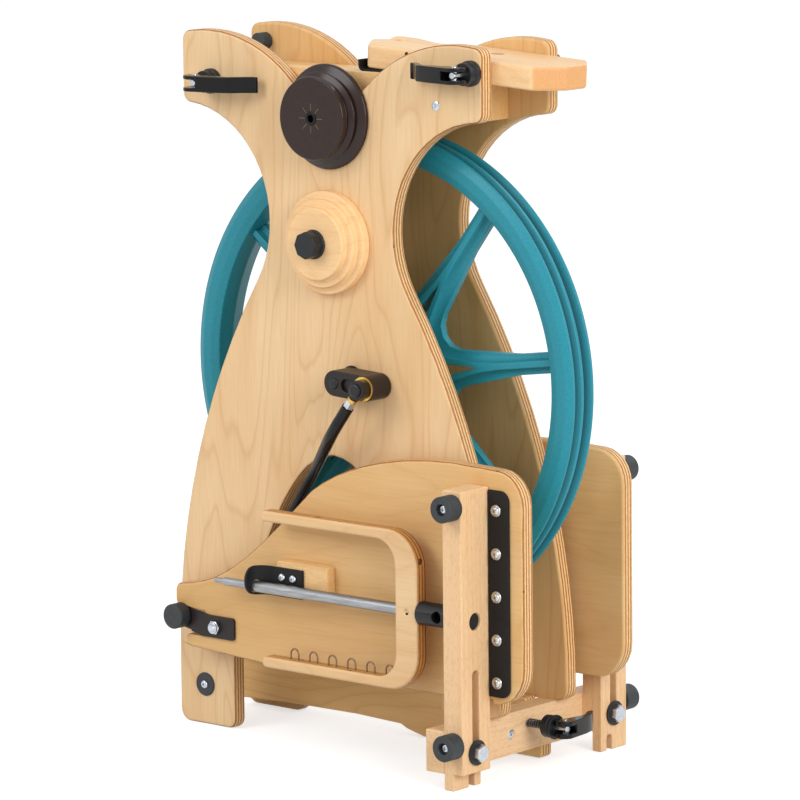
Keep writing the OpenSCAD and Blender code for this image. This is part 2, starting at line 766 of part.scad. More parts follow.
module treadle(front) {
    chamfer = 4;
    on_side(front)
        difference() {
            plate(treadle_edge, ply_t, treadle_in);
            along_y(toe.x, toe.y, treadle_in - over, treadle_out + over,
                toe_screw_d + 2 * seat);
            // Room to pass the crossbar as the bar swings down and slides in
            translate([crossbar_x - 7, 0, 0])
                rotate([90, 0, 90])
                    linear_extrude(48)
                        polygon([[treadle_out + over, treadle_z - over],
                            [treadle_out - chamfer - over, treadle_z - over],
                            [treadle_out + over, treadle_z + chamfer + over]]);
        }
}
module front_treadle() {
    placed(ply_c) treadle(true);
}
module back_treadle() {
    placed(ply_c) treadle(false);
}
strap_x = bar_end + 0.8;
strap_w = 20.6;
strap_z = 73;
strap_top = 239.2;
module hinge_strap(front) {
    on_side(front)
        plate(rounded([[strap_x, strap_z, 1], [strap_x + strap_w, strap_z, 8],
            [strap_x + strap_w, strap_top, 9], [strap_x, strap_top, 1]], 5),
            leather_t, treadle_out + seat);
}
module front_hinge_strap() {
    placed(black_c) hinge_strap(true);
}
module back_hinge_strap() {
    placed(black_c) hinge_strap(false);
}
strap_screw_x = strap_x + 8.4;
strap_screw_z = [84.6, 119.2, 153.8, 188.4, 223];
bracket_t = 2.5;
module cup_screw(x, z, y0) {
    turned(x, z, y0 + seat, [[0, 0], [4.9, 0], [4.6, 0.9], [3.9, 1.3], [0, 1.3]], 24);
    screw_head(x, z, y0 + 1.3 - seat, 7, 1.6);
}
module treadle_screws(front) {
    nut_y = treadle_out + bracket_t + 2 * seat;
    on_side(front) {
        for (z = strap_screw_z)
            cup_screw(strap_screw_x, z, treadle_out + leather_t + seat);
        along_y(toe.x, toe.y, treadle_in, nut_y + 6.6, toe_screw_d, 20);
        along_y(toe.x, toe.y, nut_y, nut_y + 5, 11.5, 6);
        if (front)
            for (x = rest_screw_x)
                screw_head(x, flyer_z + 9, rest_out + rest_leather_t + seat, 7, 2.4);
    }
}
module front_treadle_screws() {
    placed(steel_c) treadle_screws(true);
}
module back_treadle_screws() {
    placed(steel_c) treadle_screws(false);
}
// A steel strap on the treadle's face that steps back through the notch under the bumper
bumper_x = -treadle_toe + 7;
module toe_bracket(front) {
    y0 = treadle_out + seat;
    low = treadle_out - 2.3;
    left = bumper_x - 9.8;
    right = -90;
    h = bracket_h;
    on_side(front)
        difference() {
            intersection() {
                flat_plate([[right, y0], [notch_x - 0.4, y0], [notch_x - 2.2, low],
                    [left, low], [left, low + bracket_t], [notch_x - 1.2, low + bracket_t],
                    [notch_x + 0.6, y0 + bracket_t], [right, y0 + bracket_t]],
                    h, bracket_z);
                plate(rounded([[left, bracket_z, 8], [right, bracket_z, 9],
                    [right, bracket_z + h, 9], [left, bracket_z + h, 8]], 6),
                    10, treadle_out - 5);
            }
            along_y(toe.x, toe.y, low - over, treadle_out + 5, toe_screw_d + 2 * seat);
        }
}
module front_toe_bracket() {
    placed(black_c) toe_bracket(true);
}
module back_toe_bracket() {
    placed(black_c) toe_bracket(false);
}
bumper_z = toe_bolt_z + 5.5;
module front_toe_bumper() {
    placed(black_c)
        on_side(true) bumper(bumper_x, bumper_z, treadle_out - 2.3 + bracket_t);
}
module back_toe_bumper() {
    placed(black_c)
        on_side(false) bumper(bumper_x, bumper_z, treadle_out - 2.3 + bracket_t);
}

// Flyer, stored in front of the front treadle on the line of the bar's hole
flyer_y = bolt_y;
flyer_right = bar_x - 36.3;
flyer_left = flyer_right - flyer_l;
base_w = 23;
flyer_low = flyer_z - flyer_w / 2;
flyer_high = flyer_z + flyer_w / 2;
hub_end = bar_x - 3.3;
module flyer_blank() {
    inner = flyer_right - base_w;
    low = flyer_low + flyer_arm;
    high = flyer_high - flyer_arm;
    plate(rounded([[flyer_left, flyer_low, 4], [flyer_right, flyer_low, 30],
        [flyer_right, flyer_high, 30], [flyer_left, flyer_high, 4],
        [flyer_left, high, 4], [inner, high, 20], [inner, low, 20],
        [flyer_left, low, 4]], 8), ply_t, flyer_y - ply_t / 2);
}
module flyer() {
    placed(ply_c)
        on_side(true)
            difference() {
                flyer_blank();
                along_x(flyer_y, flyer_z, flyer_right - base_w - over, flyer_right + over,
                    shaft_d + 2 * seat);
                along_y(flyer_right - 11, flyer_z, flyer_y + shaft_d / 2 + 0.5,
                    flyer_y + ply_t, 3, 16);
            }
}
// A wire hook: two legs and a half ring that leans on them
hook_wire = 1.6;
hook_pitch = 20.3;
hook_first = flyer_left + 30.7;
module flyer_hooks() {
    r = 4.2;
    low = flyer_low + flyer_arm + seat;
    leg = 4.6;
    placed(brass_c)
        difference() {
            for (i = [0:hook_n - 1])
                translate([hook_first + i * hook_pitch, -flyer_y, low]) {
                    for (s = [-1, 1])
                        translate([s * r, 0, 0]) cylinder(d = hook_wire, h = leg, $fn = 8);
                    translate([0, 0, leg])
                        rotate([90, 0, 0])
                            rotate_extrude(angle = 180, $fn = 24)
                                translate([r, 0]) circle(d = hook_wire, $fn = 8);
                }
            translate([-seat, 0, seat])
                on_side(true) flyer_blank();
        }
}
shaft_left = flyer_left - 18;
module flyer_shaft() {
    placed(steel_c)
        on_side(true) {
            along_x(flyer_y, flyer_z, shaft_left, flyer_right, shaft_d);
            along_x(flyer_y, flyer_z, shaft_left - 27, shaft_left, shaft_d * 0.72);
            along_x(flyer_y, flyer_z, shaft_left - 37, shaft_left - 27, shaft_d * 0.46);
        }
}
module flyer_hub() {
    placed(black_c)
        on_side(true)
            difference() {
                union() {
                    along_x(flyer_y, flyer_z, flyer_right + seat, hub_end - 0.8, 18.8);
                    along_x(flyer_y, flyer_z, hub_end - 0.8, hub_end, 17.2);
                }
                along_x(flyer_y, flyer_z, flyer_right + 14, hub_end + over, 9.5);
                along_y(hub_end - 11, flyer_z, flyer_y, flyer_y + 20, 9.5);
            }
}
// A maple block behind the shaft, with a leather tab that the shaft passes through
rest_left = flyer_left + 5;
rest_right = flyer_left + 60;
rest_out = treadle_out + 10;
rest_leather_t = 2.2;
rest_screw_x = [rest_left + 8, rest_left + 20];
module flyer_rest() {
    placed(maple_c)
        on_side(true)
            plate(rounded([[rest_left, flyer_z - 7, 2], [rest_right, flyer_z - 7, 2],
                [rest_right, flyer_z + 22, 2], [rest_left, flyer_z + 22, 2]], 3),
                rest_out - treadle_out - seat, treadle_out + seat);
}
module rest_leather() {
    x0 = rest_left - 5;
    y0 = rest_out + seat;
    r = 12;
    c = [x0, y0 + rest_leather_t + r];
    tip = 4;
    placed(black_c)
        on_side(true)
            difference() {
                flat_plate(concat([[rest_left + 30, y0]], arc(c, r + rest_leather_t, 270, 180, 10),
                    [[c.x - r - rest_leather_t, c.y + tip], [c.x - r, c.y + tip]],
                    arc(c, r, 180, 270, 10), [[rest_left + 30, y0 + rest_leather_t]]),
                    24, flyer_z - 7);
                along_x(flyer_y, flyer_z, x0 - 30, x0 - 2, shaft_d + 1.1);
            }
}

// Flyer holder. It turns on the right cam bolt and its left end rests on the pad
pad_t = 1.7;
pad_left = 10;
pad_right = 46;
holder_half = in_y - 0.8;
holder_tilt = asin((rail_top + pad_t + gap + holder_t / 2 - holder_bolt_z)
    / (holder_bolt_x - pad_right));
holder_edge = rounded([[30, -holder_half, 5], [9, -6, 3], [17, 5.5, 3], [8, 23, 3],
    [13, 30, 3], [30, 30, 3], [64, 17, 14], [84, holder_half, 8], [198, holder_half, 6],
    [216, 12, 6], [216, -12, 6], [198, -holder_half, 6]], 4);
module flyer_holder() {
    placed(maple_c)
        translate([holder_bolt_x, 0, holder_bolt_z])
            rotate([0, holder_tilt, 0])
                translate([-holder_bolt_x, 0, 0])
                    difference() {
                        flat_plate(holder_edge, holder_t, -holder_t / 2);
                        translate([29, 8, 0]) cylinder(d = 10, h = 60, center = true, $fn = 28);
                        along_y(holder_bolt_x, 0, -in_y - over, in_y + over,
                            cam_bolt_d + 2 * fit);
                    }
}
// The pad under the holder, with its left end turned up
module holder_pad() {
    z = rail_top + seat;
    placed(black_c)
        plate([[pad_right, z], [pad_right, z + pad_t], [pad_left + 5, z + pad_t],
            [pad_left + 2.8, z + 3], [pad_left + 1.4, z + 8], [pad_left, z + 7.6],
            [pad_left + 1.4, z + 2], [pad_left + 4, z]], rail_t - 2, -in_y + 1);
}

// Cam levers, drawn with the bolt along Z, the pin along Y and the handle along X
cam_pin_h = 21.4;
cam_head_r = 9.5;
cam_pin_d = 5;
cam_stem_w = 6.2;
module cam_bolt_body(nut_z) {
    translate([0, 0, nut_z]) cylinder(d = cam_bolt_d, h = -nut_z + 4.5, $fn = 28);
    translate([0, 0, nut_z]) {
        cylinder(d = 17, h = 2, $fn = 36);
        cylinder(d = 13, h = 7 - seat, $fn = 6);
    }
    translate([0, 0, seat]) cylinder(d = cam_washer_d, h = 4.5 - seat, $fn = 40);
    translate([0, 0, 4.5]) cylinder(d = 15, h = cam_pin_h - cam_head_r - gap - 4.5, $fn = 32);
    cam_stem(cam_pin_h - cam_head_r - gap, cam_pin_h, cam_lever_t);
}
module cam_stem(z0, z1, wide) {
    translate([0, 0, z0])
        cylinder(d = cam_stem_w, h = z1 - z0 + 3, $fn = 20);
    translate([0, wide / 2 + 0.6, z1])
        rotate([90, 0, 0]) cylinder(d = cam_pin_d, h = wide + 1.2, $fn = 24);
}
module cam_lever_body(pin_h, head_r, wide, edge) {
    difference() {
        union() {
            translate([0, wide / 2, 0])
                rotate([90, 0, 0]) linear_extrude(wide) polygon(edge);
            translate([0, wide / 2, pin_h])
                rotate([90, 0, 0]) cylinder(r = head_r, h = wide, $fn = 40);
        }
        translate([-2 * head_r, -cam_stem_w / 2 - gap, pin_h - 2 * head_r])
            cube([2.8 * head_r, cam_stem_w + 2 * gap, 4 * head_r]);
        translate([0, wide, pin_h])
            rotate([90, 0, 0])
                cylinder(d = cam_pin_d + 2 * fit, h = 2 * wide, $fn = 24);
    }
}
cam_edge = rounded([[0, cam_pin_h + 8.6, 0], [41, 26, 24], [64, 14.2, 3.2], [61.5, 7.4, 3.2],
    [38, 18, 24], [6, 16.5, 0], [0, 16.5, 0]], 5);
module on_front(x, z) {
    translate([x, -out_y, z])
        rotate([90, 0, 0]) children();
}
module left_cam_bolt() {
    placed(black_c)
        on_front(-left_bolt_x, left_bolt_z) cam_bolt_body(-2 * out_y - 7);
}
module right_cam_bolt() {
    placed(black_c)
        on_front(holder_bolt_x, holder_bolt_z) cam_bolt_body(-2 * out_y - 7);
}
module left_cam_lever() {
    placed(black_c)
        on_front(-left_bolt_x, left_bolt_z)
            cam_lever_body(cam_pin_h, cam_head_r, cam_lever_t, cam_edge);
}
module right_cam_lever() {
    placed(black_c)
        on_front(holder_bolt_x, holder_bolt_z)
            mirror([1, 0, 0])
                cam_lever_body(cam_pin_h, cam_head_r, cam_lever_t, cam_edge);
}

// The lower clamp, whose rod the ends of both bars slide over when they are down
clamp_rod_d = 5;
clamp_pin_h = 38;
clamp_head_r = 8;
clamp_wide = 14;
barrel_h = [19.4, clamp_pin_h - clamp_head_r - gap];
clamp_edge = rounded([[0, clamp_pin_h + 7.4, 0], [30, 43.5, 18], [46, 37.5, 3],
    [44.5, 31.5, 3], [28, 36, 18], [5, 34.5, 0], [0, 34.5, 0]], 5);
module on_crossbar() {
    translate([crossbar_end, 0, clamp_z])
        rotate([90, 0, 90]) children();
}
module clamp_rod() {
    nut_z = crossbar_x - crossbar_end - 4;
    placed(steel_c)
        on_crossbar() {
            translate([0, 0, nut_z]) cylinder(d = clamp_rod_d, h = clamp_pin_h - nut_z, $fn = 24);
            translate([0, 0, nut_z]) cylinder(d = 9.2, h = 4 - seat, $fn = 6);
            cam_stem(barrel_h[1] + seat, clamp_pin_h, clamp_wide);
        }
}
module clamp_barrel() {
    placed(black_c)
        on_crossbar()
            difference() {
                translate([0, 0, barrel_h[0]])
                    cylinder(r = 10, h = barrel_h[1] - barrel_h[0], $fn = 40);
                cylinder(d = clamp_rod_d + 2 * seat, h = 60, $fn = 24);
            }
}
module clamp_lever() {
    placed(black_c)
        on_crossbar()
            cam_lever_body(clamp_pin_h, clamp_head_r, clamp_wide, clamp_edge);
}
// The spring is one tube of six sides along a helix
spring_d = 7.4;
spring_wire = 1;
spring_turns = 8;
spring_ends = [spring_wire / 2 + seat, barrel_h[0] - spring_wire / 2 - seat];
spring_n = spring_turns * 8;
spring_m = (spring_d - spring_wire) / 2;
spring_pitch = (spring_ends[1] - spring_ends[0]) / spring_turns;
function spring_at(i) = [spring_m * cos(i * 45), spring_m * sin(i * 45),
    spring_ends[0] + spring_pitch * i / 8];
function spring_ring(i) =
    let (out = [cos(i * 45), sin(i * 45), 0],
        along = unit([-sin(i * 45), cos(i * 45), spring_pitch / (2 * PI * spring_m)]),
        up = cross(along, out))
    [for (k = [0:5]) spring_at(i) + spring_wire / 2 * (cos(k * 60) * out - sin(k * 60) * up)];
spring_gap = min([for (i = [0:spring_n]) for (j = [i + 5:1:spring_n])
    norm(spring_at(i) - spring_at(j))]) - spring_wire;
module clamp_spring() {
    echo(spring_least_gap = spring_gap);
    placed(steel_c)
        on_crossbar()
            polyhedron([for (i = [0:spring_n]) each spring_ring(i)], concat(
                [[5, 4, 3, 2, 1, 0]],
                [for (i = [0:spring_n - 1]) for (k = [0:5])
                    let (a = i * 6 + k, b = i * 6 + (k + 1) % 6)
                    each [[a, b, b + 6], [a, b + 6, a + 6]]],
                [[for (k = [0:5]) spring_n * 6 + k]]));
}

// Stored whorls. The plastic one has a cord groove on each side of its middle flange
peg_d = 11;
whorl_r = whorl_d / 2;
whorl_t = 26;
whorl_edge = [[whorl_r, gap], [whorl_r, 3.4], [whorl_r - 1.2, 4.6], [whorl_r - 7.4, 7.4],
    [whorl_r - 7.4, 8.6], [whorl_r - 4.4, 10.6], [whorl_r - 4.4, 12.8], [whorl_r - 11.6, 15.6],
    [whorl_r - 11.6, 17.2], [whorl_r - 9, 19.4], [whorl_r - 9, 25], [whorl_r - 10, whorl_t]];
module whorl() {
    placed(brown_c)
        on_side(true)
            difference() {
                turned(0, whorl_z, out_y, concat([[peg_d / 2 + fit, gap]], whorl_edge,
                    [[peg_d / 2 + fit, whorl_t]]), 60);
                for (k = [0:3])
                    translate([0, out_y + whorl_t - 0.6, whorl_z])
                        rotate([0, k * 45, 0])
                            box(-12, 12, 0, over, -0.3, 0.3);
            }
}
module whorl_peg() {
    placed(black_c)
        on_side(true)
            difference() {
                along_y(0, whorl_z, out_y + seat, out_y + whorl_t + 0.6, peg_d);
                along_y(0, whorl_z, out_y + whorl_t - 5, out_y + whorl_t + over, 6.4);
            }
}
disc_r = disc_d / 2;
knob_stud_d = 6;
disc_top = 20;
disc_edge = [[disc_r, seat], [disc_r, 7], [disc_r - 1, 8], [disc_r - 6, 8],
    [disc_r - 6, 13], [disc_r - 7, 14], [disc_r - 12.5, 14], [disc_r - 12.5, disc_top - 1],
    [disc_r - 13.5, disc_top]];
module stepped_disc() {
    placed(maple_c)
        on_side(true)
            turned(0, disc_z, out_y, concat([[knob_stud_d / 2 + fit, seat]], disc_edge,
                [[knob_stud_d / 2 + fit, disc_top]]), 60);
}
// A black knob with eight flats, on a stud through the disc and the panel
module disc_knob() {
    placed(black_c)
        on_side(true) {
            along_y(0, disc_z, in_y, out_y + disc_top + 2, knob_stud_d, 24);
            along_y(0, disc_z, out_y + disc_top + gap, out_y + disc_top + 2, 24, 40);
            along_y(0, disc_z, out_y + disc_top + 2, out_y + disc_top + 12, 22.6, 8);
        }
}

front_panel();
back_panel();
crossbar();
stretcher_board();
spreader_board();
front_top_rail();
rear_top_rail();
frame_screws();
axle_bearings();
horn_bumper();
wheel_rim();
wheel_spokes();
axle();
front_crank();
back_crank();
crank_pins();
crank_screws();
front_footman();
front_rod_end();
front_rod_nut();
back_footman();
back_rod_end();
back_rod_nut();
front_pivot_bolt();
back_pivot_bolt();
front_bar();
back_bar();
front_bar_bumpers();
back_bar_bumpers();
front_treadle();
back_treadle();
front_hinge_strap();
back_hinge_strap();
front_treadle_screws();
back_treadle_screws();
front_toe_bracket();
back_toe_bracket();
front_toe_bumper();
back_toe_bumper();
flyer();
flyer_hooks();
flyer_shaft();
flyer_hub();
flyer_rest();
rest_leather();
flyer_holder();
holder_pad();
left_cam_bolt();
right_cam_bolt();
left_cam_lever();
right_cam_lever();
clamp_rod();
clamp_spring();
clamp_barrel();
clamp_lever();
whorl();
whorl_peg();
stepped_disc();
disc_knob();
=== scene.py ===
# %% [markdown]
# # A folding spinning wheel
# The object is a spinning wheel with two treadles, folded up for storage. It is made of
# clear-lacquered birch plywood and maple, with a moulded teal drive wheel and black fittings.
# The imported CAD model gives every place and size. This script keeps those places and adds
# what a maker's drawing leaves out: rounded arrises, plies, grain, screws and sheen.
# The first cell loads the CAD model, and a helper reads the box of any of its parts.

# %% Load the imported frame
import json
import math

import bmesh
import bpy
from mathutils import Matrix, Vector
from mathutils.geometry import delaunay_2d_cdt

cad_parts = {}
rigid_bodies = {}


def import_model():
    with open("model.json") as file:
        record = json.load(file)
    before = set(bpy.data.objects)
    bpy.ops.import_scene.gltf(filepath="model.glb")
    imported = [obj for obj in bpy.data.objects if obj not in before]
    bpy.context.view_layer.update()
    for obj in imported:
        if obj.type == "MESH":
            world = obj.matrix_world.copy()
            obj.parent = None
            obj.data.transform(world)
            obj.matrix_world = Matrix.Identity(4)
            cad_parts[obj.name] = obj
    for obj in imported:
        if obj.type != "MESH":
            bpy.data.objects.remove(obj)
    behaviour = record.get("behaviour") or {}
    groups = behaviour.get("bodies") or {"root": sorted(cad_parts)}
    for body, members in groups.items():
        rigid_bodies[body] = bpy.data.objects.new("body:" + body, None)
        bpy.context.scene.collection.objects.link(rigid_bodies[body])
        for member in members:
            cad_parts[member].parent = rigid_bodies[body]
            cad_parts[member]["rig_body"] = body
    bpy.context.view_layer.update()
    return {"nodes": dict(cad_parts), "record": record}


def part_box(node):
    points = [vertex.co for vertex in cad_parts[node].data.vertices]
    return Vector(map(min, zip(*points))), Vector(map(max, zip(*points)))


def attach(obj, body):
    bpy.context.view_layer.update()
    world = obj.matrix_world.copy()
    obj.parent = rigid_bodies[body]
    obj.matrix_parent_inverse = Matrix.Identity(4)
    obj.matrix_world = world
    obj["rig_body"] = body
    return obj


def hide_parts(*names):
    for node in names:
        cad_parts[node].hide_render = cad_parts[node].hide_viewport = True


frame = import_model()

# %% [markdown]
# Blender works in metres, and a wheel maker in millimetres. The CAD source measures x from
# the middle of the side panels, and the frame from the wheel's axle, so one small function
# turns a place in the source's millimetres into a place in the frame.

# %% Units and places
MM = 0.001
AXLE_X, AXLE_Z = 21.7, 308.2
FRONT, BACK = -1, 1


def spot(x, y, z):
    """A point given in the CAD source's millimetres, in metres in the frame."""
    return Vector((x - AXLE_X, y, z)) * MM


def linear(code):
    """An sRGB hex colour as the linear colour that shaders use."""
    parts = [int(code[i:i + 2], 16) / 255 for i in (1, 3, 5)]
    return [p / 12.92 if p <= 0.04045 else ((p + 0.055) / 1.055) ** 2.4 for p in parts] + [1]


print("the axle is at", spot(AXLE_X, 0, AXLE_Z))

# %% [markdown]
# The photograph is taken with a long lens from the front right, a little above the object.
# A long lens far away flattens the perspective, so the camera stands about four metres off.
# Its direction comes from three angles, and its picture is square.

# %% Camera
def placed_camera():
    """The photograph's camera: a long lens, four metres away."""
    azimuth, elevation, roll = (math.radians(a) for a in (40.31, 9.23, -0.63))
    ahead = Vector((-math.sin(azimuth) * math.cos(elevation),
                    math.cos(azimuth) * math.cos(elevation), -math.sin(elevation)))
    level = Vector((math.cos(azimuth), math.sin(azimuth), 0))
    right = math.cos(roll) * level + math.sin(roll) * level.cross(ahead)
    up = right.cross(ahead)
    data = bpy.data.cameras.new("camera")
    data.sensor_width, data.lens = 36, 220
    data.clip_end = 60
    camera = bpy.data.objects.new("camera", data)
    bpy.context.collection.objects.link(camera)
    camera.matrix_world = Matrix((right, up, -ahead)).transposed().to_4x4()
    camera.matrix_world.translation = spot(2574.5, -2998.5, 925.2)
    return camera


bpy.context.scene.camera = placed_camera()
print("camera at", bpy.context.scene.camera.matrix_world.translation)

# %% [markdown]
# Every material below is a small tree of nodes. One function adds a node, sets what is set on
# it, fills or links its inputs, and fills a colour ramp where the node has one. A Mix node has
# several sockets of one name, so its sockets for colours go by their numbers.

# %% One helper for nodes
FACTOR, FIRST, SECOND, MIXED = 0, 6, 7, 2


def add(tree, kind, inputs=None, stops=None, **settings):
    """Adds a node. inputs maps a socket's name or number to a value or to another socket."""
    node = tree.nodes.new(kind)
    for key, value in settings.items():
        setattr(node, key, value)
    for key, value in (inputs or {}).items():
        if isinstance(value, bpy.types.NodeSocket):
            tree.links.new(value, node.inputs[key])
        else:
            node.inputs[key].default_value = value
    if stops:
        elements = node.color_ramp.elements
        while len(elements) < len(stops):
            elements.new(1)
        for element, (place, colour) in zip(elements, stops):
            element.position, element.color = place, colour
    return node


def started(name, **shader):
    """A new material with its shader, and its Object coordinates in millimetres."""
    material = bpy.data.materials.new(name)
    material.use_nodes = True
    tree = material.node_tree
    tree.nodes.clear()
    surface = add(tree, "ShaderNodeBsdfPrincipled",
                  {key.replace("_", " "): value for key, value in shader.items()})
    add(tree, "ShaderNodeOutputMaterial", {"Surface": surface.outputs["BSDF"]})
    place = add(tree, "ShaderNodeTexCoord")
    mm = add(tree, "ShaderNodeMapping",
             {"Vector": place.outputs["Object"], "Scale": (1 / MM,) * 3})
    return material, tree, surface, mm.outputs["Vector"]


def grey(level):
    """A grey stop of a ramp that is used as a mask."""
    return [level, level, level, 1]


print("a mid grey stop:", grey(0.5))

# %% [markdown]
# Wood first. Rotary-cut birch veneer shows long flames, because the knife peels the log along
# its growth rings. A noise that is stretched along the grain stands for the log's height map,
# and evenly spaced levels of it, like contour lines on a map, give the flames. Finer stretched
# noise adds the fibre. The same wood is used for solid maple, with closer and fainter lines.

# %% Grain
# one over a size in millimetres: the log's humps, the clouds on them, and a fibre's width
HUMP, CLOUD, FIBRE = 0.011, 0.02, 0.7


def grained(tree, mm, along, colours, ring_count, ring_depth, fibre_depth, drift, seed,
            squeeze=0.17):
    """Base colour of lacquered wood whose grain runs along an axis, as a socket."""
    base, dark, line = (linear(c) for c in colours)
    log = add(tree, "ShaderNodeMapping",
              {"Vector": mm, "Scale": [squeeze if axis == along else 1 for axis in "XYZ"],
               "Location": (seed * 37, seed * 53, seed * 71)})
    field = add(tree, "ShaderNodeTexNoise",
                {"Vector": log.outputs["Vector"], "Scale": HUMP, "Detail": 2.5,
                 "Roughness": 0.4, "Distortion": 0.3})
    levels = add(tree, "ShaderNodeMath", {0: field.outputs["Fac"], 1: ring_count},
                 operation="MULTIPLY")
    ring = add(tree, "ShaderNodeMath", {0: levels.outputs[0]}, operation="FRACT")
    flame = add(tree, "ShaderNodeValToRGB", {"Fac": ring.outputs[0]},
                [(0, grey(0.5)), (0.08, grey(0.05)), (0.55, grey(0)), (0.84, grey(0.3)),
                 (0.95, grey(1)), (1, grey(0.5))])
    cloud = add(tree, "ShaderNodeTexNoise",
                {"Vector": log.outputs["Vector"], "Scale": CLOUD, "Detail": 3.0})
    fibres = add(tree, "ShaderNodeMapping",
                 {"Vector": mm, "Scale": [0.035 if axis == along else 1 for axis in "XYZ"]})
    fibre = add(tree, "ShaderNodeTexNoise",
                {"Vector": fibres.outputs["Vector"], "Scale": FIBRE, "Detail": 4.0,
                 "Roughness": 0.6})
    streak = add(tree, "ShaderNodeValToRGB", {"Fac": fibre.outputs["Fac"]},
                 [(0.42, grey(0)), (0.75, grey(1))])
    band = add(tree, "ShaderNodeValToRGB", {"Fac": cloud.outputs["Fac"]},
               [(0.35, grey(0)), (0.7, grey(1))])
    darker = add(tree, "ShaderNodeMath", {0: band.outputs[0], 1: drift}, operation="MULTIPLY")
    colour = add(tree, "ShaderNodeMix", {FACTOR: darker.outputs[0], FIRST: base, SECOND: dark},
                 data_type="RGBA")
    for mask, depth in ((flame, ring_depth), (streak, fibre_depth)):
        share = add(tree, "ShaderNodeMath", {0: mask.outputs[0], 1: depth},
                    operation="MULTIPLY")
        colour = add(tree, "ShaderNodeMix",
                     {FACTOR: share.outputs[0], FIRST: colour.outputs[MIXED], SECOND: line},
                     data_type="RGBA")
    return colour.outputs[MIXED], fibre.outputs["Fac"]


print("humps of", round(1 / HUMP), "mm and fibres of", round(1 / FIBRE, 1), "mm")

# %% [markdown]
# Plywood shows its plies wherever the face is cut or rounded away. The plies are a matter of
# depth alone, so the material reads how deep a point lies in the board, and picks the ply.
# Thin dark glue lines part the plies, and short dark dashes are the voids in the core.

# %% Birch plywood
FACE = ("#e9c99c", "#dfb582", "#c58d57")
# a more golden face; on the far panel it is painted bounce light, the warm light that the wood
# round it reflects into its shade
GOLDEN = ("#e0b982", "#d5a566", "#bb8347")
PALE_PLY, RUST_PLY, GLUE, VOID = "#ecc58e", "#b57438", "#7a4a25", "#3a2012"
# thickness in millimetres and colour of each ply, from the inner face to the outer one. A ply
# without a colour is a face, which shows its grain
BOARD = [(1.9, None), (1.5, RUST_PLY), (1.9, PALE_PLY), (1.3, RUST_PLY), (1.9, PALE_PLY),
         (1.3, RUST_PLY), (1.6, PALE_PLY), (1.0, RUST_PLY), (0.6, None)]


def plywood(name, inner_mm, along, seed, plies=BOARD, colours=FACE, flames=0.34):
    """Lacquered birch plywood. The board's inner face lies inner_mm from the middle in Y."""
    material, tree, surface, mm = started(name, Roughness=0.45, Specular_IOR_Level=0.3)
    face, fibre = grained(tree, mm, along, colours, 22, flames, 0.22, 0.8, seed)
    axes = add(tree, "ShaderNodeSeparateXYZ", {"Vector": mm})
    side = add(tree, "ShaderNodeMath", {0: axes.outputs["Y"]}, operation="ABSOLUTE")
    wander = add(tree, "ShaderNodeTexNoise", {"Vector": mm, "Scale": 0.06, "Detail": 2.0})
    shift = add(tree, "ShaderNodeMath", {0: wander.outputs["Fac"], 1: 0.7, 2: -0.35 - inner_mm},
                operation="MULTIPLY_ADD")
    depth = add(tree, "ShaderNodeMath", {0: side.outputs[0], 1: shift.outputs[0]},
                operation="ADD")
    total = sum(t for t, _ in plies)
    share = add(tree, "ShaderNodeMath", {0: depth.outputs[0], 1: total}, operation="DIVIDE")
    stops, cut_face, reached, glue = [], [], 0, 0.16
    for thickness, colour in plies:
        stops.append((reached / total, linear(colour or PALE_PLY)))
        cut_face.append((reached / total, grey(0 if colour else 1)))
        reached += thickness
        if reached < total - 0.1:
            stops.append(((reached - glue) / total, linear(GLUE)))
    edge = add(tree, "ShaderNodeValToRGB", {"Fac": share.outputs[0]}, stops)
    edge.color_ramp.interpolation = "CONSTANT"
    on_face = add(tree, "ShaderNodeValToRGB", {"Fac": share.outputs[0]}, cut_face)
    on_face.color_ramp.interpolation = "CONSTANT"
    rough = add(tree, "ShaderNodeTexNoise", {"Vector": mm, "Scale": 0.35, "Detail": 5.0,
                                             "Roughness": 0.7})
    tint = add(tree, "ShaderNodeMapRange", {"Value": rough.outputs["Fac"], "From Min": 0.3,
                                            "From Max": 0.7, "To Min": 0.78, "To Max": 1.1})
    worn = add(tree, "ShaderNodeMix",
               {FACTOR: 1.0, FIRST: edge.outputs[0], SECOND: tint.outputs[0]},
               data_type="RGBA", blend_type="MULTIPLY")
    gaps = add(tree, "ShaderNodeTexNoise", {"Vector": mm, "Scale": 0.11, "Detail": 3.0})
    hollow = add(tree, "ShaderNodeValToRGB", {"Fac": gaps.outputs["Fac"]},
                 [(0.68, grey(0)), (0.71, grey(0.9))])
    rusty = add(tree, "ShaderNodeValToRGB", {"Fac": share.outputs[0]},
                [(s, grey(1 if c[0] < linear(PALE_PLY)[0] * 0.9 else 0)) for s, c in stops])
    rusty.color_ramp.interpolation = "CONSTANT"
    pit = add(tree, "ShaderNodeMath", {0: hollow.outputs[0], 1: rusty.outputs[0]},
              operation="MULTIPLY")
    cut = add(tree, "ShaderNodeMix",
              {FACTOR: pit.outputs[0], FIRST: worn.outputs[MIXED], SECOND: linear(VOID)},
              data_type="RGBA")
    shown = add(tree, "ShaderNodeMix",
                {FACTOR: on_face.outputs[0], FIRST: cut.outputs[MIXED], SECOND: face},
                data_type="RGBA")
    tree.links.new(shown.outputs[MIXED], surface.inputs["Base Color"])
    bump = add(tree, "ShaderNodeBump", {"Height": fibre, "Strength": 0.05, "Distance": 0.0002})
    tree.links.new(bump.outputs["Normal"], surface.inputs["Normal"])
    return material


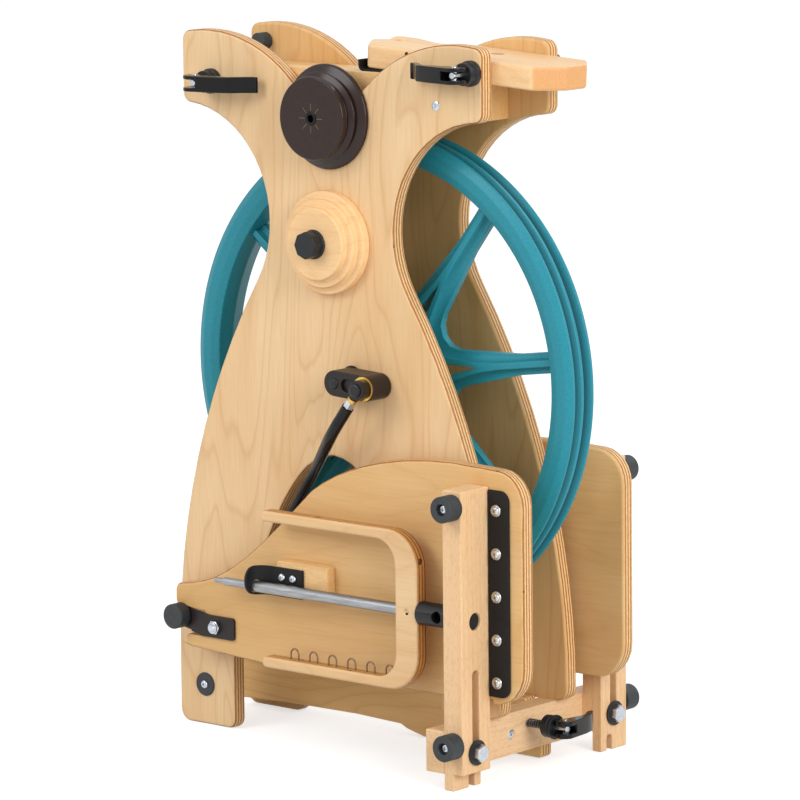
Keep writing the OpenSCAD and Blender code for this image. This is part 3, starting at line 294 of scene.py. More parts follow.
panel_ply = plywood("lacquered_birch_plywood_upright", 35.6, "Z", 1)
# The far panel is the same plywood as the front one. Its more golden colour is painted bounce
# light.
far_panel_bounce_ply = plywood("lacquered_birch_plywood_far_panel", 35.6, "Z", 9, colours=GOLDEN)
treadle_ply = plywood("lacquered_birch_plywood_treadle", 57.8, "X", 2, colours=GOLDEN,
                      flames=0.16)
flyer_ply = plywood("lacquered_birch_plywood_flyer", 82.0, "X", 3,
                    [(1.6, "#c98f52"), (0.9, "#15100c"), (2.4, "#c89558"), (1.3, "#a9682f"),
                     (2.3, "#d3a061"), (1.3, "#a9682f"), (1.6, "#d3a061"), (1.6, None)],
                    flames=0.18)
# The stretcher board sits in shade between the feet. Its brighter, more golden colour is painted
# bounce light.
board_bounce_ply = plywood("lacquered_birch_plywood_board", 22.6, "X", 4,
                    colours=("#efc585", "#e3b06c", "#c68c4f"))
print("plies in a board:", len(BOARD), "thick in all", sum(t for t, _ in BOARD))

# %% [markdown]
# The bars, the crossbar, the rails and the flyer holder are hard maple: a pale, close wood with
# straight grain and tiny flecks where the saw met its rays. The flecks are drawn a little
# longer than the real ones, so that they show at this distance.

# %% Maple
MAPLE = ("#efcba0", "#e2b684", "#c79560")


def maple(name, along, seed, colours=MAPLE, flecks=0.25):
    """Clear-lacquered hard maple with its grain along an axis."""
    material, tree, surface, mm = started(name, Roughness=0.42, Specular_IOR_Level=0.3)
    wood, fibre = grained(tree, mm, along, colours, 26, 0.25, 0.22, 0.7, seed, 0.07)
    rays = add(tree, "ShaderNodeMapping",
               {"Vector": mm, "Scale": [0.3 if axis == along else 1 for axis in "XYZ"]})
    fleck = add(tree, "ShaderNodeTexNoise",
                {"Vector": rays.outputs["Vector"], "Scale": 0.75, "Detail": 1.5})
    mask = add(tree, "ShaderNodeValToRGB", {"Fac": fleck.outputs["Fac"]},
               [(0.52, grey(0)), (0.64, grey(1))])
    share = add(tree, "ShaderNodeMath", {0: mask.outputs[0], 1: flecks}, operation="MULTIPLY")
    shown = add(tree, "ShaderNodeMix",
                {FACTOR: share.outputs[0], FIRST: wood, SECOND: linear(colours[2])},
                data_type="RGBA")
    tree.links.new(shown.outputs[MIXED], surface.inputs["Base Color"])
    bump = add(tree, "ShaderNodeBump", {"Height": fibre, "Strength": 0.04, "Distance": 0.0002})
    tree.links.new(bump.outputs["Normal"], surface.inputs["Normal"])
    return material


maple_up = maple("lacquered_maple_upright", "Z", 5)
maple_across = maple("lacquered_maple_across", "Y", 6)
maple_along = maple("lacquered_maple_lengthwise", "X", 7, ("#f0ca92", "#e3b577", "#c99457"))
# The spreader sits in shade between the panels. Its more golden colour is painted bounce light.
spreader_bounce_maple = maple("lacquered_maple_spreader", "Z", 10, ("#ecbf7f", "#dfab68", "#c08a4c"))
disc_maple = maple("turned_maple", "X", 8, ("#f2cb98", "#eabf87", "#d5a063"), 0.12)
print("maple made in", len([m for m in bpy.data.materials if "maple" in m.name]), "cuts")

# %% [markdown]
# Where its fibres end, maple drinks more lacquer and looks darker. The flyer holder shows such
# an end towards +X. Its wood is a maple like the others, whose colour is then darkened on the
# faces that look along X, with fine pores.

# %% End grain
def coloured(material):
    """A finished material's tree, its shader, and the socket that gives its base colour."""
    tree = material.node_tree
    surface = next(node for node in tree.nodes if node.type == "BSDF_PRINCIPLED")
    return tree, surface, surface.inputs["Base Color"].links[0].from_socket


def end_grain(material, pale, dark):
    """Darkens a wood where its fibres end: on the faces that look along X."""
    tree, surface, wood = coloured(material)
    facing_x = add(tree, "ShaderNodeSeparateXYZ",
                   {"Vector": add(tree, "ShaderNodeNewGeometry").outputs["Normal"]})
    size = add(tree, "ShaderNodeMath", {0: facing_x.outputs["X"]}, operation="ABSOLUTE")
    mask = add(tree, "ShaderNodeMapRange", {"Value": size.outputs[0], "From Min": 0.35,
                                            "From Max": 0.75})
    place = add(tree, "ShaderNodeTexCoord")
    pores = add(tree, "ShaderNodeTexNoise", {"Vector": place.outputs["Object"],
                                             "Scale": 900.0, "Detail": 2.0})
    ends = add(tree, "ShaderNodeMix",
               {FACTOR: pores.outputs["Fac"], FIRST: linear(pale), SECOND: linear(dark)},
               data_type="RGBA")
    both = add(tree, "ShaderNodeMix",
               {FACTOR: mask.outputs[0], FIRST: wood, SECOND: ends.outputs[MIXED]},
               data_type="RGBA")
    tree.links.new(both.outputs[MIXED], surface.inputs["Base Color"])
    return material


holder_maple = end_grain(maple("lacquered_maple_holder", "X", 11,
                               ("#f3cf9e", "#e9bd86", "#d09a5e"), 0.15), "#e6b077", "#cf9258")
print("end grain shows on", holder_maple.name)

# %% [markdown]
# Plastics, rubber, leather and metals need less: a base colour, a roughness, and one noise that
# keeps the surface from looking like a computer's. Each line below gives a finish its real
# name, its colours, the size of its texture in millimetres and how deep that texture is.

# %% Plastics, leather and metals
def plain(name, colour, second, size_mm, blend, bump_depth, stretch=(1, 1, 1), **shader):
    """A finish of one colour that a noise of a given size mixes with a second colour."""
    material, tree, surface, mm = started(name, **shader)
    cells = add(tree, "ShaderNodeMapping", {"Vector": mm, "Scale": stretch})
    noise = add(tree, "ShaderNodeTexNoise", {"Vector": cells.outputs["Vector"],
                                             "Scale": 1 / size_mm, "Detail": 3.0})
    mask = add(tree, "ShaderNodeMapRange", {"Value": noise.outputs["Fac"], "From Min": 0.35,
                                            "From Max": 0.7, "To Max": blend})
    shown = add(tree, "ShaderNodeMix",
                {FACTOR: mask.outputs[0], FIRST: linear(colour), SECOND: linear(second)},
                data_type="RGBA")
    tree.links.new(shown.outputs[MIXED], surface.inputs["Base Color"])
    if bump_depth:
        bump = add(tree, "ShaderNodeBump", {"Height": noise.outputs["Fac"],
                                            "Strength": bump_depth, "Distance": 0.0003})
        tree.links.new(bump.outputs["Normal"], surface.inputs["Normal"])
    return material


# Glass-filled nylon, moulded: a soft sheen, with fine paler specks of the filling
teal = plain("moulded_teal_nylon", "#1f8495", "#3a9aaa", 1.6, 0.35, 0.1, Roughness=0.4,
             Specular_IOR_Level=0.3)
# Moulded rubber: dull, blue-black, slightly dusty
rubber = plain("black_rubber", "#24282b", "#34393d", 3.0, 0.5, 0.1, Roughness=0.58)
# Split leather, dyed black: a fine grain and almost no gloss
leather = plain("black_leather", "#121213", "#1f1f20", 1.4, 0.6, 0.35, Roughness=0.6,
                Specular_IOR_Level=0.25)
# Powder-coated steel: nearly black with a brown cast, with a light orange peel
coated = plain("powder_coated_steel", "#1d1614", "#2a211e", 1.2, 0.6, 0.12, Roughness=0.38,
               Specular_IOR_Level=0.3)
# Black nylon of the cam levers: moulded glossy
glossy = plain("black_moulded_nylon", "#0a0a0b", "#111112", 4.0, 0.5, 0.02, Roughness=0.2,
               Specular_IOR_Level=0.25)
# Satin plastic of the knob, the washers and the caps: dark grey, with a soft highlight
matt_black = plain("black_satin_plastic", "#1b1c1e", "#26282b", 4.0, 0.5, 0.04, Roughness=0.42,
                   Specular_IOR_Level=0.3)
# Dark brown acetal of the whorl, turned: satin with narrow highlights on its edges
brown = plain("brown_acetal", "#26140f", "#301c15", 5.0, 0.4, 0.02, Roughness=0.24,
              Specular_IOR_Level=0.35)
# Zinc-plated steel: bright and a little blue
zinc = plain("zinc_plated_steel", "#c3c9d0", "#a8b0ba", 2.5, 0.6, 0.05, Metallic=1.0,
             Roughness=0.27)
# Nickel cups under the strap screws: warm white metal
nickel = plain("nickel_cup", "#c9c3b4", "#a9a294", 2.0, 0.5, 0.03, Metallic=1.0,
               Roughness=0.3)
# Ground steel of the flyer shaft: fine lines round it, drawn coarser than the real ones
ground = plain("ground_steel", "#a3a5a7", "#7f8184", 0.9, 0.8, 0.12, (0.06, 1, 1),
               Metallic=1.0, Roughness=0.36)
# Brass of the rings and studs: warm, and dulled a little by handling
brass = plain("brass", "#d8b25c", "#c29a45", 2.0, 0.5, 0.03, Metallic=1.0, Roughness=0.25)
# Bronze-coloured hook wire
wire = plain("bronzed_wire", "#8c7358", "#6d5844", 1.0, 0.6, 0.05, Metallic=0.9,
             Roughness=0.35)
# Spring steel of the clamp: drawn wire, grey and oiled
dark_steel = plain("dark_spring_steel", "#5f5d5b", "#45433f", 1.0, 0.6, 0.05, Metallic=1.0,
                   Roughness=0.38)
# The bottom of a drilled hole, where no light comes
hollow_black = plain("unlit_hole", "#0a0a0b", "#101012", 2.0, 0.5, 0, Roughness=0.8)
print("materials:", len(bpy.data.materials))

# %% [markdown]
# The bottoms of the cord grooves get painted shade, darker than the rim's faces, for the shade
# that the rim's lips cast into them. The wheel is round, so the distance from the axle says where
# a groove lies, and the teal nylon is darkened there.

# %% Cord grooves
def painted_groove_shade(material, deep, shallow, reach):
    """Painted shade on a round piece: darkens it between two radii from the axle, within a reach
    to each side.
    """
    tree, surface, before = coloured(material)
    place = add(tree, "ShaderNodeTexCoord")
    flat = add(tree, "ShaderNodeMapping", {"Vector": place.outputs["Object"],
                                           "Location": (0, 0, -AXLE_Z * MM),
                                           "Scale": (1, 0, 1)})
    radius = add(tree, "ShaderNodeVectorMath", {0: flat.outputs["Vector"]}, operation="LENGTH")
    depth = add(tree, "ShaderNodeMapRange", {"Value": radius.outputs["Value"],
                                             "From Min": shallow, "From Max": deep})
    sides = add(tree, "ShaderNodeSeparateXYZ", {"Vector": place.outputs["Object"]})
    far = add(tree, "ShaderNodeMath", {0: sides.outputs["Y"]}, operation="ABSOLUTE")
    near = add(tree, "ShaderNodeMath", {0: far.outputs[0], 1: reach}, operation="LESS_THAN")
    outer = add(tree, "ShaderNodeMath", {0: radius.outputs["Value"], 1: deep - 0.004},
                operation="GREATER_THAN")
    both = add(tree, "ShaderNodeMath", {0: near.outputs[0], 1: outer.outputs[0]},
               operation="MULTIPLY")
    mask = add(tree, "ShaderNodeMath", {0: both.outputs[0], 1: depth.outputs["Result"]},
               operation="MULTIPLY")
    share = add(tree, "ShaderNodeMath", {0: mask.outputs[0], 1: 0.9}, operation="MULTIPLY")
    # painted shade: the groove bottoms are mixed towards a dark teal
    shown = add(tree, "ShaderNodeMix",
                {FACTOR: share.outputs[0], FIRST: before, SECOND: linear("#0b3f49")},
                data_type="RGBA")
    tree.links.new(shown.outputs[MIXED], surface.inputs["Base Color"])


painted_groove_shade(teal, 0.1935, 0.1985, 0.0108)
print("the grooves are shaded in", teal.name)

# %% [markdown]
# A dressed piece has to move with the real piece that it dresses. So it rides with the body of
# its CAD node, and the CAD nodes that it replaces are hidden. Weighted normals are baked in
# first: they keep flat faces flat in the light.

# %% Putting a mesh in its place
def bodies():
    """The CAD body and the material slot of each node."""
    slots = {part["node"]: part["material_slot"] for part in frame["record"]["subparts"]}
    return {name: (piece["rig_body"], slots[name]) for name, piece in frame["nodes"].items()}


HOME = bodies()


def evaluated(piece, name):
    """The piece with its modifiers applied, as a plain mesh. The piece itself goes."""
    graph = bpy.context.evaluated_depsgraph_get()
    mesh = bpy.data.meshes.new_from_object(piece.evaluated_get(graph), depsgraph=graph,
                                           preserve_all_data_layers=True)
    mesh.name = name
    bpy.data.objects.remove(piece)
    return mesh


def loose(name, mesh):
    """A mesh as an object that is in the scene but belongs to no body yet."""
    piece = bpy.data.objects.new(name, mesh)
    bpy.context.collection.objects.link(piece)
    return piece


def shaded(name, mesh, angle=32):
    """Smooth shading up to an angle, with normals weighted by the faces' area."""
    mesh.polygons.foreach_set("use_smooth", [True] * len(mesh.polygons))
    mesh.set_sharp_from_angle(angle=math.radians(angle))
    piece = loose(name, mesh)
    weighted = piece.modifiers.new("weighted", "WEIGHTED_NORMAL")
    weighted.keep_sharp = True
    return evaluated(piece, name)


def settle(name, mesh, material, node, replaced=None, smooth=True, angle=32):
    """Gives a mesh its material and lets it ride with the CAD node that it belongs to."""
    if smooth:
        mesh = shaded(name, mesh, angle)
    mesh.materials.clear()
    mesh.materials.append(material)
    piece = loose(name, mesh)
    body, slot = HOME[node]
    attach(piece, body)
    if replaced is None:
        replaced = [node]
    if replaced:
        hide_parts(*replaced)
    return piece


print("CAD nodes with a body and a slot:", len(HOME))

# %% [markdown]
# Some pieces are drawn anew. The simplest way is a maker's own: draw an outline, raise it to a
# plate, and let a boolean cut it or join it with another. A matrix stands the plate up.

# %% Plates and cuts
def meshed(name, shape):
    """Writes a shape that was built in memory to a new mesh."""
    mesh = bpy.data.meshes.new(name)
    shape.to_mesh(mesh)
    shape.free()
    return mesh


def block(low, high):
    """A box between two corners in the source's millimetres."""
    low, high = spot(*low), spot(*high)
    shape = bmesh.new()
    bmesh.ops.create_cube(shape, size=1, matrix=Matrix.Translation((low + high) / 2)
                          @ Matrix.Diagonal((*(high - low), 1)))
    return meshed("block", shape)


def joined(name, mesh, tool_mesh, operation="DIFFERENCE"):
    """Two meshes combined with a boolean."""
    shape = bmesh.new()
    shape.from_mesh(mesh)
    bmesh.ops.remove_doubles(shape, verts=shape.verts, dist=0.004 * MM)
    shape.to_mesh(mesh)
    shape.free()
    tool, piece = loose("tool", tool_mesh), loose(name, mesh)
    cut = piece.modifiers.new("cut", "BOOLEAN")
    cut.object, cut.operation, cut.solver = tool, operation, "EXACT"
    result = evaluated(piece, name)
    bpy.data.objects.remove(tool)
    return result


def standing(origin, across, up):
    """The matrix that lays a drawing on an origin: its X along across and its Y along up."""
    across, up = Vector(across), Vector(up)
    turn = Matrix((across, up, across.cross(up))).transposed().to_4x4()
    return Matrix.Translation(origin) @ turn @ Matrix.Scale(MM, 4)


def plate(name, outline, low, high, matrix):
    """A closed plate: an outline in millimetres, raised from low to high, then placed."""
    shape = bmesh.new()
    for height in (low, high):
        shape.faces.new([shape.verts.new((x, y, height)) for x, y in outline])
    shape.verts.ensure_lookup_table()
    count = len(outline)
    for i in range(count):
        j = (i + 1) % count
        shape.faces.new([shape.verts[k] for k in (i, j, count + j, count + i)])
    shape.transform(matrix)
    bmesh.ops.recalc_face_normals(shape, faces=shape.faces)
    return meshed(name, shape)


def arc(x, z, radius, start, end, steps=8):
    """Points of an arc between two angles in degrees."""
    turns = (math.radians(start + (end - start) * i / steps) for i in range(steps + 1))
    return [(x + radius * math.cos(a), z + radius * math.sin(a)) for a in turns]


PLAN = standing(spot(0, 0, 0), (1, 0, 0), (0, 1, 0))
UPRIGHT = standing(spot(0, 0, 0), (1, 0, 0), (0, 0, 1))
print("a quarter turn is drawn with", len(arc(0, 0, 1, 0, 90)), "points")

# %% [markdown]
# A CAD board has sharp arrises, and a real one is run past a round-over cutter. A copy of the
# board is merged into a closed mesh, its flat faces are cleaned of triangles, and its outward
# edges are bevelled. Weights say how much of the full rounding an edge gets, so that holes
# under washers stay plain.

# %% Rounding the arrises
def rounded_off(name, mesh, width, segments=3, weigh=None):
    """The mesh with its outward edges rounded by a width in millimetres. weigh gives the share
    of the width at a place. It changes slowly, because a sudden step folds the faces over."""
    shape = bmesh.new()
    shape.from_mesh(mesh)
    bmesh.ops.remove_doubles(shape, verts=shape.verts, dist=0.004 * MM)
    bmesh.ops.dissolve_limit(shape, angle_limit=math.radians(0.8), verts=shape.verts,
                             edges=shape.edges)
    weights = shape.edges.layers.float.new("bevel_weight_edge")
    for edge in shape.edges:
        if len(edge.link_faces) == 2 and edge.calc_face_angle_signed(0) > math.radians(40):
            middle = (edge.verts[0].co + edge.verts[1].co) / 2 / MM
            middle.x += AXLE_X
            edge[weights] = weigh(middle) if weigh else 1
    piece = loose(name, meshed(name, shape))
    bevel = piece.modifiers.new("rounding", "BEVEL")
    bevel.limit_method = "WEIGHT"
    bevel.width = width * MM
    bevel.segments = segments
    bevel.use_clamp_overlap = False
    return filled(evaluated(piece, name))


def filled(mesh):
    """Cuts every large flat face into triangles. A face with holes in it needs this, because
    a renderer that cuts it by itself can fill a hole or leave a gap."""
    shape = bmesh.new()
    shape.from_mesh(mesh)
    for face in [face for face in shape.faces if len(face.verts) > 8]:
        turn = face.normal.to_track_quat("Z", "Y").to_matrix()
        flat = [(turn.inverted() @ loop.vert.co) / MM for loop in face.loops]
        count = len(flat)
        rim = [(i, (i + 1) % count) for i, loop in enumerate(face.loops)
               if sum(other.face == face for other in loop.edge.link_loops) < 2]
        places, _, triangles, origins, _, _ = delaunay_2d_cdt(
            [point.xy for point in flat], rim, [], 0, 1e-4)
        height = sum(point.z for point in flat) / count
        corners = [face.loops[ids[0]].vert if ids
                   else shape.verts.new(turn @ Vector((*place, height)) * MM)
                   for place, ids in zip(places, origins)]
        kept = []
        for triangle in triangles:
            x, y = sum((places[i] for i in triangle), Vector((0, 0))) / 3
            crossings = sum((flat[i].y > y) != (flat[j].y > y)
                            and x < flat[i].x + (y - flat[i].y) * (flat[j].x - flat[i].x)
                            / (flat[j].y - flat[i].y) for i, j in rim)
            if crossings % 2:
                kept.append([corners[i] for i in triangle])
        shape.faces.remove(face)
        for triangle in kept:
            if len(set(triangle)) == 3 and not shape.faces.get(triangle):
                shape.faces.new(triangle)
    bmesh.ops.delete(shape, geom=[edge for edge in shape.edges if not edge.link_faces],
                     context="EDGES")
    bmesh.ops.delete(shape, geom=[vert for vert in shape.verts if not vert.link_faces],
                     context="VERTS")
    shape.to_mesh(mesh)
    shape.free()
    return mesh


def softened(node, name, width, material, segments=3, weigh=None, cuts=(), angle=32):
    """A copy of a CAD node, with boxes cut out of it and with its edges rounded."""
    mesh = frame["nodes"][node].data.copy()
    for low, high in cuts:
        mesh = joined(name, mesh, block(low, high))
    mesh = rounded_off(name, mesh, width, segments, weigh)
    return settle(name, mesh, material, node, angle=angle)


def fade(value, low, high, least=0.0):
    """Rises from least to 1 as the value goes from low to high."""
    share = min(max((value - low) / (high - low), 0), 1)
    return least + (1 - least) * share


print("halfway along its reach a rounding has the share", fade(15, 10, 20))

# %% [markdown]
# The two side panels carry everything. Their outline is right in CAD, so they only need their
# arrises rounded, by 2.6 mm. The underside of the right feet stands on the crossbar and
# stays sharp, as do the holes under the washers and the bearings.

# %% Side panels
CAM_BOLTS = {"left": (-126, 542.5), "right": (149, 563)}
DISC_Z = 419
# the holes under the bearing, the disc and the cam bolts, each with the radius that stays sharp
SHARP_HOLES = [(AXLE_X, AXLE_Z, 16), (0, DISC_Z, 6)] + [(*at, 6) for at in CAM_BOLTS.values()]


def panel_weight(p):
    """Nothing at the holes and under the right feet, and the whole rounding elsewhere."""
    if any(math.hypot(p.x - x, p.z - z) < radius for x, z, radius in SHARP_HOLES):
        return 0
    return fade(p.z, 48.5, 66) if p.x > 100 else 1


for side in ("front", "back"):
    softened(f"{side}_panel", f"side_panel.{side}", 2.6,
             panel_ply if side == "front" else far_panel_bounce_ply, 4, panel_weight)
print("side panels are rounded")

# %% [markdown]
# The treadles are boards of the same plywood with the grain lying down. Near the notch for the
# toe bracket the outline is tight, so the rounding there is smaller.

# %% Treadles
NOTCH_RIGHT, NOTCH_LOW, NOTCH_TOP = -124.5, 81.6, 103.4
TOE = Vector((-110, 91.5))


def treadle_weight(p):
    """Nothing at the toe bolt's hole, less near the notch and along the bottom."""
    if math.hypot(p.x - TOE.x, p.z - TOE.y) < 5:
        return 0
    if p.x < -120:
        return fade(math.hypot(p.x + 138, p.z - 92.5), 12, 42, 0.3)
    return 1 if p.z > 73 or p.x < 0 else 0.3 + 0.7 * abs(p.x - 160) / 160


for side, way in (("front", FRONT), ("back", BACK)):
    near, far = sorted((way * 56, way * 73))
    softened(f"{side}_treadle", f"treadle.{side}", 2.6, treadle_ply, 4, treadle_weight,
             [((-142, near, NOTCH_LOW), (NOTCH_RIGHT, far, NOTCH_TOP))])
print("treadles are rounded")

# %% [markdown]
# The bars, rails and boards get a small rounding, as if by a few strokes of sandpaper. The
# crossbar stays sharp at the holes in its end, where the clamp and two screws sit.

# %% Bars and rails
PIVOT_Y, FLYER_Z = 88.5, 136


def bar_weight(p):
    """Nothing at the crossbar's end, round the clamp and the end screws."""
    return 0 if p.z < 52 and p.x > 158 and abs(p.y) < 30 else 1


def flyer_weight(p):
    """Nothing at the hole for the flyer's shaft."""
    return 0 if math.hypot(p.y + PIVOT_Y, p.z - FLYER_Z) < 6 else 1


for node, name, width, wood in (
        ("front_bar", "bar.front", 1.1, maple_up),
        ("back_bar", "bar.back", 1.1, maple_up),
        ("crossbar", "crossbar", 1.1, maple_across),
        ("front_top_rail", "top_rail.front", 1.2, maple_along),
        ("rear_top_rail", "top_rail.rear", 1.2, maple_along),
        ("spreader_board", "spreader", 0.8, spreader_bounce_maple),
        ("flyer_rest", "flyer_rest", 1.2, maple_along)):
    softened(node, name, width, wood, 3, bar_weight)
softened("flyer_holder", "flyer_holder", 2.2, holder_maple, 3, angle=18)
softened("flyer", "flyer", 2.2, flyer_ply, 4, flyer_weight)
print("bars and rails are eased")

# %% [markdown]
# The stretcher board between the feet is plywood, cut with a low step at its right end so that
# the crossbar can pass. The photograph shows more of it than the CAD solid has, so its outline
# is drawn anew and raised to a plate. Small black discs stand for the unlit bottoms of holes.

# %% Stretcher board and drilled holes
BOARD_IN, BOARD_T, PIN_HOLE_T = 22.58, 13, 0.66
outline = ([(-170, 7)] + arc(-112, 12.4, 3, 250, 280, 3) + [(-40, 10.2), (8, 8.6)]
           + arc(20, -4, 11, 120, 60, 4)[:1] + [(24, 3.2), (33, 1.2), (154, 0.9)]
           + arc(154, 4.9, 4, -90, 0, 4) + [(158, 12.6), (142.4, 12.6)]
           + arc(139.4, 46, 3, 0, 90, 4) + arc(-165, 44, 5, 90, 180, 4))
board = plate("stretcher", outline, -BOARD_IN - BOARD_T, -BOARD_IN, UPRIGHT)
settle("stretcher", rounded_off("stretcher", board, 1.4), board_bounce_ply, "stretcher_board")
for name, node, x, y, z, radius in (
        ("flyer_pin_hole", "flyer", 115.6, 94.4, 134.7, 0.9),
        ("holder_front_hole", "flyer_holder", 71, 34.2, 573, 1.9)):
    hole = plate(name, arc(x, z, radius, 0, 345, 23), 0, PIN_HOLE_T,
                 UPRIGHT @ Matrix.Translation((0, 0, y)))
    settle(name, hole, hollow_black, node, [])
# painted shade: a black disc deep in each bar's hole, where only shade falls
for side, way in (("front", FRONT), ("back", BACK)):
    plug = plate("plug", arc(way * PIVOT_Y, 135.5, 6.8, 0, 345, 23), 176, 178.6,
                 standing(spot(0, 0, 0), (0, 1, 0), (0, 0, 1)))
    settle(f"bar_hole.{side}", plug, hollow_black, f"{side}_bar", [])
print("the stretcher board reaches from", outline[0][0], "to", outline[-1][0], "mm in x")

# %% [markdown]
# Turned pieces come from a lathe: a profile of radius and height is spun about an axis. Small
# fillets on the profile's corners are what catches the light, so they are added first.

# %% A lathe
def eased(points, radius, steps=4):
    """The polyline with a small curve at each inner corner."""
    points = [Vector(p) for p in points]
    result = [points[0]]
    for before, corner, after in zip(points, points[1:], points[2:]):
        back, on = before - corner, after - corner
        reach = min(radius, back.length * 0.45, on.length * 0.45)
        start, end = corner + back.normalized() * reach, corner + on.normalized() * reach
        for i in range(steps + 1):
            t = i / steps
            result.append((1 - t) ** 2 * start + 2 * t * (1 - t) * corner + t * t * end)
    result.append(points[-1])
    return result


def facing(point, direction, turn=0):
    """The matrix that stands a piece on a point, with its own Z along a direction."""
    spin = Vector(direction).to_track_quat("Z", "Y").to_matrix().to_4x4()
    return Matrix.Translation(point) @ spin @ Matrix.Rotation(turn, 4, "Z") @ Matrix.Scale(MM, 4)


def lathed(name, profile, matrix, sides=64):
    """A closed mesh spun from [radius, height] points, which start and end on the axis or
    close on themselves."""
    shape = bmesh.new()
    closed = profile[0][0] > 1e-6
    rings = []
    for radius, height in profile:
        if radius < 1e-6:
            rings.append([shape.verts.new((0, 0, height))])
        else:
            rings.append([shape.verts.new((radius * math.cos(a), radius * math.sin(a), height))
                          for a in (2 * math.pi * i / sides for i in range(sides))])
    pairs = list(zip(rings, rings[1:])) + ([(rings[-1], rings[0])] if closed else [])
    for low, high in pairs:
        for i in range(sides):
            j = (i + 1) % sides
            corners = [low[i % len(low)], low[j % len(low)], high[j % len(high)],
                       high[i % len(high)]]
            corners = list(dict.fromkeys(corners))
            if len(corners) > 2:
                shape.faces.new(corners)
    shape.transform(matrix)
    bmesh.ops.recalc_face_normals(shape, faces=shape.faces)
    return meshed(name, shape)


LOOK = {"front": (0, FRONT, 0), "back": (0, BACK, 0)}
print("an eased corner has", len(eased([(0, 0), (1, 0), (1, 1)], 0.2)) - 2, "points")

# %% [markdown]
# Screws, bumpers and hooks repeat along a line, and the whorl's slits repeat round its peg. A
# Geometry Nodes tree sets such copies out, so that their pitch is a single number. A tree has
# named inputs, turns its instances into real geometry and gives them their material. An empty
# object runs it, and the result is kept as a plain mesh.

# %% Geometry Nodes: repeat along a line or round an axis
def geometry_tree(name, *sockets):
    """An empty node group whose inputs are named, with the identifier of each."""
    tree = bpy.data.node_groups.new(name, "GeometryNodeTree")
    keys = {label: tree.interface.new_socket(label, in_out="INPUT", socket_type=kind).identifier
            for label, kind in sockets}
    tree.interface.new_socket("Geometry", in_out="OUTPUT", socket_type="NodeSocketGeometry")
    return tree, keys, add(tree, "NodeGroupInput")


def closed_tree(tree, geometry, given):
    """Ends a tree: instances become real and take their material."""
    real = add(tree, "GeometryNodeRealizeInstances", {"Geometry": geometry})
    painted = add(tree, "GeometryNodeSetMaterial", {"Geometry": real.outputs["Geometry"],
                                                    "Material": given.outputs["Material"]})
    add(tree, "NodeGroupOutput", {"Geometry": painted.outputs["Geometry"]})


def row_tree():
    """Copies of a piece along a line, one step apart."""
    tree, keys, given = geometry_tree(
        "row_of_pieces", ("Piece", "NodeSocketObject"), ("Count", "NodeSocketInt"),
        ("Step", "NodeSocketVector"), ("Material", "NodeSocketMaterial"))
    line = add(tree, "GeometryNodeMeshLine", {"Count": given.outputs["Count"],
                                              "Offset": given.outputs["Step"]})
    piece = add(tree, "GeometryNodeObjectInfo", {"Object": given.outputs["Piece"],
                                                 "As Instance": True})
    set_out = add(tree, "GeometryNodeInstanceOnPoints", {"Points": line.outputs["Mesh"],
                                                         "Instance": piece.outputs["Geometry"]})
    closed_tree(tree, set_out.outputs["Instances"], given)
    return tree, keys


def ring_tree():
    """Copies of a piece round a centre, each turned to face it."""
    tree, keys, given = geometry_tree(
        "ring_of_pieces", ("Piece", "NodeSocketObject"), ("Count", "NodeSocketInt"),
        ("Centre", "NodeSocketVector"), ("Material", "NodeSocketMaterial"))
    points = add(tree, "GeometryNodeMeshLine", {"Count": given.outputs["Count"],
                                                "Start Location": given.outputs["Centre"],
                                                "Offset": (0, 0, 0)})
    index = add(tree, "GeometryNodeInputIndex")
    step = add(tree, "ShaderNodeMath", {0: 2 * math.pi, 1: given.outputs["Count"]},
               operation="DIVIDE")
    angle = add(tree, "ShaderNodeMath", {0: index.outputs[0], 1: step.outputs[0]},
                operation="MULTIPLY")
    turn = add(tree, "ShaderNodeCombineXYZ", {"Y": angle.outputs[0]})
    piece = add(tree, "GeometryNodeObjectInfo", {"Object": given.outputs["Piece"],
                                                 "As Instance": True})
    set_out = add(tree, "GeometryNodeInstanceOnPoints",
                  {"Points": points.outputs["Mesh"], "Instance": piece.outputs["Geometry"],
                   "Rotation": turn.outputs["Vector"]})
    closed_tree(tree, set_out.outputs["Instances"], given)
    return tree, keys


ROW, RING = row_tree(), ring_tree()


def grown(name, tree_and_keys, **values):
    """Runs a tree with its named inputs and returns the result as a plain mesh."""
    tree, keys = tree_and_keys
    host = loose(name, bpy.data.meshes.new(name))
    modifier = host.modifiers.new("nodes", "NODES")
    modifier.node_group = tree
    for label, value in values.items():
        modifier[keys[label]] = value
    mesh = evaluated(host, name)
    if "Piece" in values:
        bpy.data.objects.remove(values["Piece"])
    return mesh


def row(name, mesh, count, step, material):
    """A mesh repeated along a line. The first one stays where it is."""
    return grown(name, ROW, Piece=loose(name + ".one", mesh), Count=count,
                 Step=Vector(step) * MM, Material=material)


print("trees:", [tree.name for tree, _ in (ROW, RING)])

# %% [markdown]
# The brown whorl has a cord groove on each side of its middle flange. Its rims are polished by
# the lathe, so they are rounder than its flat face. Eight short slits lie like the hours of a
# clock round the peg, and the ring tree sets them out. The wooden disc under it is turned in
# three steps, and a black knob holds it.

